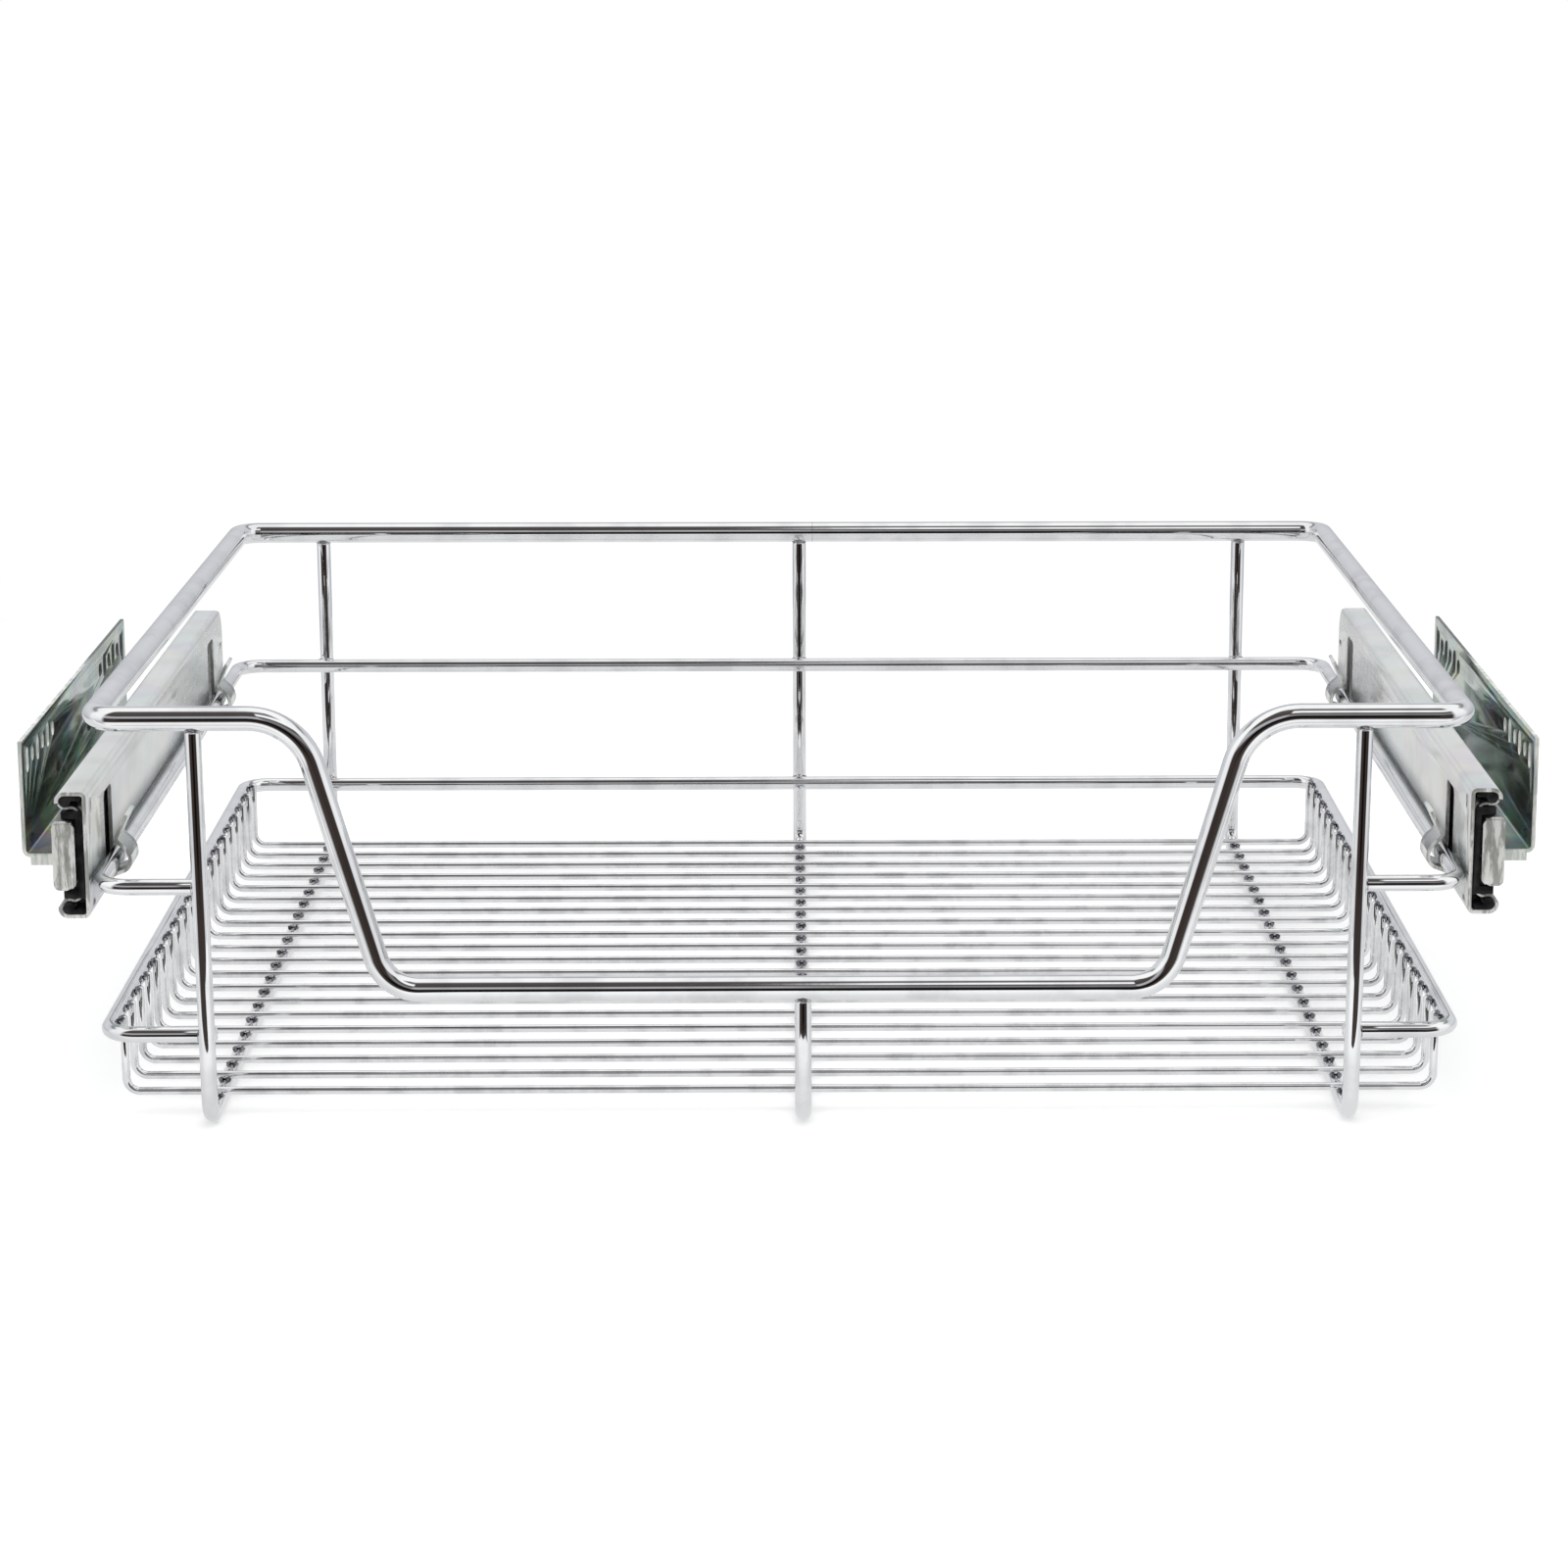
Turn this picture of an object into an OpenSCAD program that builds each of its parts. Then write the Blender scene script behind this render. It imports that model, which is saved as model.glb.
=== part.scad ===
// Pull out cabinet basket: a chromed wire basket carried by two telescopic
// ball runners, with a folded bracket on each runner for the cabinet side.
// X is the width, -Y the front, +Z up. The origin is the centre of the
// footprint, on the surface that the three base wires stand on.

/* [Basket] */
// Width over the outside of the rails
basket_w = 500; // [300:5:800]
// Depth between the front and rear runs of the top rail, centre to centre
rail_depth = 410; // [350:5:600]
// Height of the top rail's centre above the base, in front
top_rail_z = 152.5; // [135:0.5:220]
// How much lower the top rail's rear run lies than its front run
rear_drop = 3; // [0:0.5:6]
// Height of the middle rail's centre above the base
middle_rail_z = 89; // [75:0.5:100]
// Height of the lower rail's centre above the base
lower_rail_z = 33.5; // [24:0.5:40]
// How far the lower rail stands in from the middle rail on each side
lower_inset = 1; // [0:0.5:10]

/* [Wires] */
// Diameter of the top rail
rail_d = 9; // [7:0.5:10]
// Diameter of the middle rail, the lower rail and the uprights
wire_d = 6; // [5:0.5:7]
// Diameter of the cross wires in the floor of the basket
cross_d = 3; // [2.4:0.2:4]
// Bend radius of the top rail's corners, on the wire's centre
rail_corner_r = 10; // [8:1:20]
// Bend radius of the middle and lower rails' corners
wire_corner_r = 11; // [8:1:16]
// Bend radius at the foot of each upright
foot_r = 8; // [7:1:14]
// Bend radius at the ends of the cross wires
cross_end_r = 5; // [4:0.5:8]
// Distance of the outer uprights from the middle
upright_x = 208; // [120:1:225]
// How much further out an outer upright's front top leans than its foot
upright_lean = 1.5; // [0:0.5:5]
// How far the middle upright stands right of the middle
centre_shift = 8; // [-20:1:20]

/* [Front dip] */
// Height of the dip's centre above the base
dip_z = 52; // [46:1:70]
// How far the dip's middle lies right of the basket's middle
dip_shift = -2; // [-10:0.5:10]
// Half width of the dip where its legs meet the top rail
dip_top_x = 170; // [110:1:173]
// Half width of the dip where its legs meet its bottom run
dip_bottom_x = 141; // [60:1:143]
// Bend radius between the top rail and the dip's legs
dip_top_r = 24; // [15:1:34]
// Bend radius between the dip's legs and its bottom run
dip_bottom_r = 16; // [12:1:26]

/* [Floor] */
// Number of cross wires
cross_count = 20; // [12:1:24]
// From the front of the basket to the first cross wire
cross_front = 20.5; // [17:0.5:28]
// From the last cross wire to the rear of the basket
cross_rear = 16.5; // [16:0.5:40]
// How far the cross wires' ends reach above the lower rail's centre
cross_tip = 3; // [2:0.5:5]

/* [Runner] */
// Length of the runner's members
runner_len = 362; // [330:1:396]
// How far the runner's front end stands behind the top rail's centre
runner_setback = 9; // [3:1:14]
// Height of the runner
runner_h = 47; // [44:0.5:50]
// Thickness of the closed runner, side to side
runner_t = 12.7; // [12.4:0.1:14]
// Height of the runner's centre above the middle rail's centre
runner_rise = 11; // [9:0.2:12]
// Sheet thickness of the basket channel and its hooks
channel_t = 1.4; // [1.2:0.1:1.6]
// Sheet thickness of the intermediate member
inter_t = 1; // [0.8:0.1:1.1]
// Sheet thickness of the cabinet member
cabinet_t = 1.2; // [1:0.1:1.4]
// Inside radius of the runner sheets' bends
sheet_bend_r = 0.9; // [0.6:0.1:1.4]
// Diameter of the bearing balls
ball_d = 4.2; // [4:0.1:4.3]
// Gap between a ball and its raceways
ball_play = 0.2; // [0.15:0.01:0.25]
// Number of balls in each row
balls_per_row = 8; // [4:1:12]
// How far the basket pulls out
travel = 350; // [200:5:350]

/* [Snap hooks] */
// Distance from the channel's front end to the middle of the front hook
hook_front = 46; // [36:1:80]
// Distance from the channel's rear end to the middle of the rear hook
hook_rear = 38; // [36:1:80]
// Width of the hook's tongue
hook_w = 16; // [10:0.5:20]
// Play between the hook and the wire that it holds
hook_play = 0.7; // [0.4:0.1:0.9]
// Radius of the hook's upper half, from beside the wire to the neck
hook_crown = 7; // [5:0.5:10]
// Gap between the hook's neck and the channel
hook_neck = 3.2; // [2.8:0.1:4]
// Length of the hook's flared tip
hook_tip = 9; // [5:0.5:10]
// Height of the hook's window above the wire's centre
window_rise = 25.5; // [22:0.5:28]
// Gap on each side of the tongue in its window
window_gap = 0.75; // [0.4:0.05:1.5]

/* [Runner stamps] */
// Distance of the front stamps from the channel's end
stamp_front = 9.5; // [8:0.5:14]
// Width of the upright slit in front
slit_w = 3; // [1.5:0.5:4]
// Height of the upright slit
slit_h = 5.5; // [4:0.5:7]
// Height of the slit above the runner's centre
slit_rise = 16.5; // [12:0.5:17]
// Length of the flat stop hole in front
stop_hole_w = 5; // [3:0.5:6]
// Height of the flat stop hole
stop_hole_h = 2.5; // [1.5:0.5:3]
// Depth of the flat stop hole below the runner's centre
stop_hole_drop = 19.5; // [12:0.5:19.5]
// Distance of the rear hole from the channel's end
tail_end = 6; // [5:0.5:12]
// Length of the rear hole
tail_hole_w = 6; // [3:0.5:8]
// Height of the rear hole
tail_hole_h = 2.6; // [1.6:0.2:4]
// Height of the rear hole above the runner's centre
tail_rise = 6.5; // [0:0.5:7]
// Radius of the channel's rear upper corner
rear_corner_r = 14; // [6:1:18]

/* [Bracket] */
// Space outside the rails on each side, which the runner and bracket fill
side_gap = 32; // [28:0.5:50]
// Length of the bracket
bracket_len = 240; // [200:5:280]
// Front end of the bracket behind the runner's front end
bracket_setback = 43; // [30:1:70]
// Height of the bracket's cabinet plate
bracket_h = 44; // [40:1:60]
// Height of the bracket's inner leg
bracket_leg_h = 21; // [18:0.5:23]
// Height of the bracket's underside below the runner's centre
bracket_drop = 11.5; // [10:0.5:12]
// Sheet thickness of the bracket
bracket_t = 1.5; // [1.2:0.1:2]
// Inside radius of the bracket's bends
bracket_bend_r = 1.5; // [1:0.1:2]
// Depth of the folded lip at the front of the bracket's flange
bracket_lip = 3; // [2:0.5:5]
// Number of rivets in each bracket
rivet_count = 3; // [2:1:5]
// Diameter of the rivets
rivet_d = 5; // [4:0.5:6]

/* [Bracket holes] */
// Number of holes in each group
hole_count = 6; // [2:2:8]
// Distance between neighbouring holes
hole_pitch = 10.8; // [9.5:0.1:12]
// From the end of the bracket to the first hole
hole_end = 10.5; // [8:0.5:20]
// Height of the holes' centre below the bracket's top edge
hole_drop = 9; // [8:0.5:14]
// Width of the slots and diameter of the round holes
hole_d = 5.5; // [4:0.1:6.5]
// Height of the upright slots
slot_h = 9.5; // [7:0.5:11]

/* [Plastic parts] */
// Thickness of the webs of the ball cages
cage_t = 0.7; // [0.6:0.05:0.8]
// Thickness of the ball cages' shelves
shelf_t = 1.8; // [1.4:0.1:2]
// Length of the front guide and the front bumpers
guide_len = 14; // [8:1:30]

/* [Hidden] */
$fn = 48;

// A bend is a hair thicker than the straight runs that reach into its ends
bend_swell = 0.1;
bend_lap = 0.1;

// ---- places shared by several pieces ----
front_y = -rail_depth / 2;
rear_y = rail_depth / 2;
rail_side_x = (basket_w - rail_d) / 2;
wire_side_x = (basket_w - wire_d) / 2;
lower_side_x = wire_side_x - lower_inset;
rear_top_z = top_rail_z - rear_drop;
nested_front_y = front_y + wire_d;
nested_rear_y = rear_y - wire_d;
base_z = wire_d / 2;
cross_z = wire_d + cross_d / 2;
cross_side_x = lower_side_x - (wire_d + cross_d) / 2;
cabinet_w = basket_w + 2 * side_gap;
runner_x = basket_w / 2 + bend_swell / 2;
runner_z = middle_rail_z + runner_rise;
runner_y = front_y + runner_setback;

// ---- section of the runner: u runs outward from the basket, v up ----
fit_gap = 0.3;
groove_r = ball_d / 2 + ball_play;
cage_web_u = channel_t + fit_gap;
inter_u = cage_web_u + cage_t + fit_gap;
inner_web_u = inter_u + inter_t + fit_gap;
// the outer row of balls lies under the channel's lip
lip_edge = 1.2;
outer_ball_u = runner_t - lip_edge - channel_t - groove_r;
outer_ball_v = runner_h / 2 - channel_t - groove_r;
// the inner row lies under the intermediate member's S shaped flange
inner_ball_u = inter_u + inter_t + groove_r;
ball_step = 2 * groove_r + inter_t;
ball_step_u = outer_ball_u - inner_ball_u;
inner_ball_v = outer_ball_v - sqrt(pow(ball_step, 2) - pow(ball_step_u, 2));
s_angle = acos(ball_step_u / ball_step);
lip_end_a = -8;
s_end_a = 335;
groove_in_a = 262;
groove_out_a = 305;

// ---- lengthwise places of the moving members at rest ----
member_end_gap = 2;
inter_y = runner_y + member_end_gap;
inter_len = runner_len - 5 * member_end_gap;
cage_margin = 3.5;
outer_cage_y = inter_y + travel / 4 + cage_margin;
outer_cage_len = runner_len - travel / 2 - 2 * cage_margin - member_end_gap;
inner_cage_y = runner_y + travel / 4 + cage_margin;
inner_cage_len = inter_len - travel / 2 - 2 * cage_margin + member_end_gap;

// ---- vector helpers ----
function unit(v) = v / norm(v);
function turn(a, b) = acos(min(1, max(-1, unit(a) * unit(b))));
function reach(r, a, b) = r * tan(turn(a, b) / 2);
function reversed(list) = [for (i = [len(list) - 1:-1:0]) list[i]];

// Straight round wire from one point to another
module rod(from, to, d) {
    v = to - from;
    translate(from)
        rotate([0, acos(v[2] / norm(v)), atan2(v[1], v[0])])
            cylinder(h = norm(v), d = d);
}

// Round wire bent at a corner, between the run a before it and b after it
module bend(corner, a, b, r, d) {
    ua = unit(a);
    ub = unit(b);
    n = unit(cross(ua, ub));
    start = corner - ua * reach(r, a, b);
    centre = corner + unit(ub - ua) * r / cos(turn(a, b) / 2);
    x = unit(start - centre);
    multmatrix([
        [x[0], ua[0], n[0], centre[0]],
        [x[1], ua[1], n[1], centre[1]],
        [x[2], ua[2], n[2], centre[2]],
        [0, 0, 0, 1]
    ])
        rotate_extrude(angle = turn(a, b))
            translate([r, 0])
                circle(d = d);
}

// Round wire along points, bent to radius r[i] at each inner point
module wire(p, r, d) {
    last = len(p) - 1;
    trim = [for (i = [0:last])
        (i == 0 || i == last) ? 0 : reach(r[i], p[i] - p[i - 1], p[i + 1] - p[i]) - bend_lap];
    for (i = [0:last - 1]) {
        v = unit(p[i + 1] - p[i]);
        rod(p[i] + v * trim[i], p[i + 1] - v * trim[i + 1], d);
    }
    for (i = [1:last - 1])
        bend(p[i], p[i] - p[i - 1], p[i + 1] - p[i], r[i], d + bend_swell);
}

// ---- sheet metal helpers ----
arc_step = 9;
function arc_points(arc, r) =
    let (n = max(1, ceil(abs(arc[4] - arc[3]) / arc_step)))
    [for (i = [0:n]) let (a = arc[3] + (arc[4] - arc[3]) * i / n) [arc[0] + r * cos(a), arc[1] + r * sin(a)]];
function side_points(arcs, offset_left) =
    [for (arc = arcs) each arc_points(arc, arc[2] + (arc[4] > arc[3] ? -offset_left : offset_left))];

// Folded sheet of thickness t: each arc of its centre line is
// [centre x, centre y, radius, start angle, end angle]; radius 0 is a point
module folded(arcs, t) {
    polygon(concat(side_points(arcs, t / 2), reversed(side_points(arcs, -t / 2))));
}

// Draws a section in u and v along Y, on the right runner's place
module along_runner(y, length) {
    translate([runner_x, y + length, runner_z])
        rotate([90, 0, 0])
            linear_extrude(height = length)
                children();
}

module mirrored() {
    mirror([1, 0, 0])
        children();
}

// ---- basket ----
module top_rail() {
    p = [
        [0, rear_y, rear_top_z],
        [-rail_side_x, rear_y, rear_top_z],
        [-rail_side_x, front_y, top_rail_z],
        [dip_shift - dip_top_x, front_y, top_rail_z],
        [dip_shift - dip_bottom_x, front_y, dip_z],
        [dip_shift + dip_bottom_x, front_y, dip_z],
        [dip_shift + dip_top_x, front_y, top_rail_z],
        [rail_side_x, front_y, top_rail_z],
        [rail_side_x, rear_y, rear_top_z],
        [0, rear_y, rear_top_z]
    ];
    c = rail_corner_r;
    color("gainsboro")
        wire(p, [0, c, c, dip_top_r, dip_bottom_r, dip_bottom_r, dip_top_r, c, c, 0], rail_d);
}

// Rail open at the front, where its ends are welded behind the outer uprights
module open_rail(side_x, z) {
    stub_x = upright_x + upright_lean * z / top_rail_z - wire_d / 2;
    p = [
        [-stub_x, nested_front_y, z],
        [-side_x, nested_front_y, z],
        [-side_x, nested_rear_y, z],
        [side_x, nested_rear_y, z],
        [side_x, nested_front_y, z],
        [stub_x, nested_front_y, z]
    ];
    c = wire_corner_r;
    color("gainsboro")
        wire(p, [0, c, c, c, c, 0], wire_d);
}

module middle_rail() open_rail(wire_side_x, middle_rail_z);
module lower_rail() open_rail(lower_side_x, lower_rail_z);

// Upright bent to a U, from under the rail in front to under it at the rear
module upright(x, front_rail_z, lean = 0) {
    tilt_gap = wire_d * abs(lean) / front_rail_z;
    p = [
        [x + lean, front_y, front_rail_z - rail_d / 2 - tilt_gap],
        [x, front_y, base_z],
        [x, rear_y, base_z],
        [x, rear_y, rear_top_z - rail_d / 2]
    ];
    color("silver")
        wire(p, [0, foot_r, foot_r, 0], wire_d);
}

module left_upright() upright(-upright_x, top_rail_z, -upright_lean);
module centre_upright() upright(centre_shift, dip_z);
module right_upright() upright(upright_x, top_rail_z, upright_lean);

module cross_wire(y) {
    tip_z = lower_rail_z + cross_tip;
    p = [
        [-cross_side_x, y, tip_z],
        [-cross_side_x, y, cross_z],
        [cross_side_x, y, cross_z],
        [cross_side_x, y, tip_z]
    ];
    wire(p, [0, cross_end_r, cross_end_r, 0], cross_d);
}

module cross_wires() {
    first = front_y + cross_front;
    pitch = (rail_depth - cross_front - cross_rear) / (cross_count - 1);
    color("whitesmoke")
        for (i = [0:cross_count - 1])
            cross_wire(first + i * pitch);
}

// ---- runner members, drawn for the right side ----
module channel_section() {
    r = groove_r + channel_t / 2;
    c = sheet_bend_r + channel_t / 2;
    corner = [channel_t / 2 + c, runner_h / 2 - channel_t / 2 - c];
    folded([
        [outer_ball_u, outer_ball_v, r, lip_end_a, 90],
        [corner[0], corner[1], c, 90, 180],
        [corner[0], -corner[1], c, 180, 270],
        [outer_ball_u, -outer_ball_v, r, 270, 360 - lip_end_a]
    ], channel_t);
}

module inter_section() {
    r = groove_r + inter_t / 2;
    folded([
        [outer_ball_u, outer_ball_v, r, s_end_a, 180 + s_angle],
        [inner_ball_u, inner_ball_v, r, s_angle, 180],
        [inner_ball_u, -inner_ball_v, r, 180, 360 - s_angle],
        [outer_ball_u, -outer_ball_v, r, 180 - s_angle, 360 - s_end_a]
    ], inter_t);
}

// Centre line height of the cabinet member's flanges, and where they start
cabinet_r = groove_r + cabinet_t / 2;
shoulder_r = 1.1;
shoulder = [inner_ball_u, inner_ball_v] + (cabinet_r + shoulder_r) * [cos(groove_out_a), sin(groove_out_a)];
cabinet_half_h = shoulder[1] + shoulder_r + cabinet_t / 2;

module cabinet_section() {
    c = sheet_bend_r + cabinet_t / 2;
    corner = [runner_t - cabinet_t / 2 - c, shoulder[1] + shoulder_r - c];
    in_a = groove_out_a - 180;
    folded([
        [inner_ball_u, inner_ball_v, cabinet_r, groove_in_a, groove_out_a],
        [shoulder[0], shoulder[1], shoulder_r, in_a, 90],
        [corner[0], corner[1], c, 90, 0],
        [corner[0], -corner[1], c, 0, -90],
        [shoulder[0], -shoulder[1], shoulder_r, -90, -in_a],
        [inner_ball_u, -inner_ball_v, cabinet_r, 360 - groove_out_a, 360 - groove_in_a]
    ], cabinet_t);
}

// Tongue lanced from the channel and curled round the middle rail. Its
// section is drawn from the channel's face towards the basket, and from the
// wire's centre up
hook_r = wire_d / 2 + hook_play + channel_t / 2;
hook_root_r = 1.5;
hook_root_a = 20;
hook_lean_a = 50;
hook_neck_r = 2;
hook_flare_a = 65;
hook_sag = 0.6;
hook_centre = [hook_r, -hook_sag];
hook_in = hook_centre + hook_r * [sin(hook_root_a), -cos(hook_root_a)];
hook_root_x = hook_root_r - channel_t / 2;
hook_root_y = hook_in[1] - (hook_in[0] - hook_root_x + hook_root_r * sin(hook_root_a)) * tan(hook_root_a)
    - hook_root_r * cos(hook_root_a);
crown_centre = hook_centre + [hook_r - hook_crown, 0];
hook_out = crown_centre + hook_crown * [cos(hook_lean_a), sin(hook_lean_a)];
neck_x = hook_neck + channel_t / 2 + hook_neck_r;
neck_start_x = neck_x - hook_neck_r * cos(hook_lean_a);
neck_y = hook_out[1] + (hook_out[0] - neck_start_x) / tan(hook_lean_a) + hook_neck_r * sin(hook_lean_a);
tip_start = [neck_x, neck_y] + hook_neck_r * [-sin(hook_flare_a), cos(hook_flare_a)];
tip_end = tip_start + hook_tip * [cos(hook_flare_a), sin(hook_flare_a)];

module hook_section() {
    folded([
        [-channel_t / 2, hook_root_y - channel_t, 0, 180, 180],
        [hook_root_x, hook_root_y, hook_root_r, 180, 90 + hook_root_a],
        [hook_centre[0], hook_centre[1], hook_r, hook_root_a - 90, 0],
        [crown_centre[0], crown_centre[1], hook_crown, 0, hook_lean_a],
        [neck_x, neck_y, hook_neck_r, 180 + hook_lean_a, 90 + hook_flare_a],
        [tip_end[0], tip_end[1], 0, 90 + hook_flare_a, 90 + hook_flare_a]
    ], channel_t);
}

module hook(y) {
    translate([runner_x, y + hook_w / 2, middle_rail_z])
        rotate([90, 0, 0])
            linear_extrude(height = hook_w)
                mirror([1, 0])
                    hook_section();
}

// Opening left in the channel by a tongue, with a rounded top
module hook_window(y) {
    w = hook_w + 2 * window_gap;
    r = 3;
    low = hook_root_y;
    translate([runner_x - channel_t, y, middle_rail_z])
        rotate([90, 0, 90])
            linear_extrude(height = 3 * channel_t) {
                translate([-w / 2, low])
                    square([w, window_rise - r - low]);
                translate([r - w / 2, window_rise - 2 * r])
                    square([w - 2 * r, 2 * r]);
                for (s = [-1, 1])
                    translate([s * (w / 2 - r), window_rise - r])
                        circle(r = r);
            }
}

// Hole through the channel's web, of a length along Y and a height
module web_hole(y, z, length, height) {
    r = min(length, height) / 2;
    translate([runner_x - channel_t, y, z])
        rotate([90, 0, 90])
            linear_extrude(height = 3 * channel_t) {
                square([max(0.01, length - 2 * r), height], center = true);
                square([length, max(0.01, height - 2 * r)], center = true);
                for (s = [-1, 1])
                    translate(length > height ? [s * (length / 2 - r), 0] : [0, s * (height / 2 - r)])
                        circle(r = r);
            }
}

// Takes the rear upper corner off the channel in a round
module rear_corner_cut() {
    r = rear_corner_r;
    end = runner_y + runner_len;
    top = runner_z + runner_h / 2;
    translate([runner_x - channel_t, end - r, top - r])
        difference() {
            cube([runner_t + channel_t, 2 * r, 2 * r]);
            translate([-channel_t, 0, 0])
                rotate([0, 90, 0])
                    cylinder(h = runner_t + 3 * channel_t, r = r);
        }
}

module basket_channel() {
    front_hook = runner_y + hook_front;
    rear_hook = runner_y + runner_len - hook_rear;
    stamp_y = runner_y + stamp_front;
    tail_y = runner_y + runner_len - tail_end;
    color("lightgray") {
        difference() {
            along_runner(runner_y, runner_len)
                channel_section();
            hook_window(front_hook);
            hook_window(rear_hook);
            rear_corner_cut();
            web_hole(stamp_y, runner_z + slit_rise, slit_w, slit_h);
            web_hole(stamp_y, runner_z - stop_hole_drop, stop_hole_w, stop_hole_h);
            web_hole(tail_y, runner_z + tail_rise, tail_hole_w, tail_hole_h);
        }
        hook(front_hook);
        hook(rear_hook);
    }
}

module intermediate_member() {
    color("darkgray")
        along_runner(inter_y, inter_len)
            inter_section();
}

// Rivets are spaced evenly along the bracket
rivet_z = runner_z;
function rivet_y(i) = runner_y + bracket_setback + bracket_len * (i + 0.5) / rivet_count;
rivet_hole_d = rivet_d + 0.1;

module rivet_holes() {
    for (i = [0:rivet_count - 1])
        translate([runner_x + runner_t - 2 * cabinet_t, rivet_y(i), rivet_z])
            rotate([0, 90, 0])
                cylinder(h = 4 * cabinet_t + bracket_t, d = rivet_hole_d);
}

// Cabinet member, closed at the front by a bent tab with rounded corners
module cabinet_member() {
    tab_u = inner_web_u + 0.5;
    tab_h = cabinet_half_h - 1;
    r = 2;
    start = runner_y - cabinet_t / 2;
    color("silver")
        difference() {
            union() {
                along_runner(start, runner_len - member_end_gap)
                    cabinet_section();
                along_runner(start - cabinet_t / 2, cabinet_t) {
                    translate([tab_u, r - tab_h])
                        square([runner_t - tab_u, 2 * (tab_h - r)]);
                    translate([tab_u + r, -tab_h])
                        square([runner_t - tab_u - 2 * r, 2 * tab_h]);
                    for (s = [-1, 1], u = [tab_u + r, runner_t - r])
                        translate([u, s * (tab_h - r)])
                            circle(r = r);
                }
            }
            rivet_holes();
        }
}

// ---- bracket, drawn for the right side ----
plate_u = cabinet_w / 2 - runner_x;
bracket_y = runner_y + bracket_setback;

module bracket_section() {
    c = bracket_bend_r + bracket_t / 2;
    plate_c = plate_u - bracket_t / 2;
    leg_c = runner_t + bracket_t / 2;
    floor_c = bracket_t / 2 - bracket_drop;
    folded([
        [plate_c, bracket_h - bracket_drop, 0, 0, 0],
        [plate_c - c, floor_c + c, c, 0, -90],
        [leg_c + c, floor_c + c, c, 270, 180],
        [leg_c, bracket_leg_h - bracket_drop, 0, 180, 180]
    ], bracket_t);
}

// One hole of a group: odd ones are upright slots, even ones are round
module bracket_hole(y, slot) {
    z = runner_z + bracket_h - bracket_drop - hole_drop;
    translate([runner_x + plate_u - 2 * bracket_t, y, z])
        rotate([0, 90, 0]) {
            h = 3 * bracket_t;
            half = slot ? (slot_h - hole_d) / 2 : 0;
            for (s = slot ? [-1, 1] : [0])
                translate([s * half, 0, 0])
                    cylinder(h = h, d = hole_d);
            if (slot)
                translate([-half, -hole_d / 2, 0])
                    cube([2 * half, hole_d, h]);
        }
}

module bracket() {
    color("darkseagreen")
        difference() {
            union() {
                along_runner(bracket_y, bracket_len)
                    bracket_section();
                // folded lip under the front of the flange
                along_runner(bracket_y, bracket_t)
                    translate([runner_t + 2 * bracket_t, -bracket_drop - bracket_lip])
                        square([plate_u - runner_t - 4 * bracket_t, bracket_lip + bracket_t / 2]);
            }
            for (i = [0:hole_count - 1]) {
                from_end = hole_end + i * hole_pitch;
                bracket_hole(bracket_y + from_end, i % 2 == 0);
                bracket_hole(bracket_y + bracket_len - from_end, i % 2 == 0);
            }
            rivet_holes();
        }
}

// Rivets that join the bracket's leg to the cabinet member
module bracket_rivets() {
    head_d = rivet_d * 1.8;
    head_t = 1.3;
    grip = cabinet_t + bracket_t;
    color("gray")
        for (i = [0:rivet_count - 1])
            translate([runner_x + runner_t - cabinet_t, rivet_y(i), rivet_z])
                rotate([0, 90, 0]) {
                    cylinder(h = grip, d = rivet_d);
                    translate([0, 0, -head_t])
                        cylinder(h = head_t, d = head_d);
                    translate([0, 0, grip])
                        cylinder(h = head_t, d = head_d);
                }
}

// ---- balls and cages, drawn for the right side ----
function ball_y(y, length, i) = y + length * (i + 0.5) / balls_per_row;

module balls(u, v, y, length, d) {
    for (s = [-1, 1], i = [0:balls_per_row - 1])
        translate([runner_x + u, ball_y(y, length, i), runner_z + s * v])
            sphere(d = d);
}

// Strip with a web beside the members and a shelf along each row of balls
module cage(web_u, u, v, y, length) {
    pocket_d = ball_d + 0.3;
    shelf_out = 1.2;
    color("dimgray")
        difference() {
            along_runner(y, length) {
                translate([web_u, -v])
                    square([cage_t, 2 * v]);
                for (s = [-1, 1])
                    translate([web_u + cage_t / 2, s * v - shelf_t / 2])
                        square([u + shelf_out - web_u - cage_t / 2, shelf_t]);
            }
            balls(u, v, y, length, pocket_d);
        }
}

module outer_cage() cage(cage_web_u, outer_ball_u, outer_ball_v, outer_cage_y, outer_cage_len);
module inner_cage() cage(inner_web_u, inner_ball_u, inner_ball_v, inner_cage_y, inner_cage_len);

module outer_balls() {
    color("lightsteelblue")
        balls(outer_ball_u, outer_ball_v, outer_cage_y, outer_cage_len, ball_d);
}

module inner_balls() {
    color("lightsteelblue")
        balls(inner_ball_u, inner_ball_v, inner_cage_y, inner_cage_len, ball_d);
}

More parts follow.
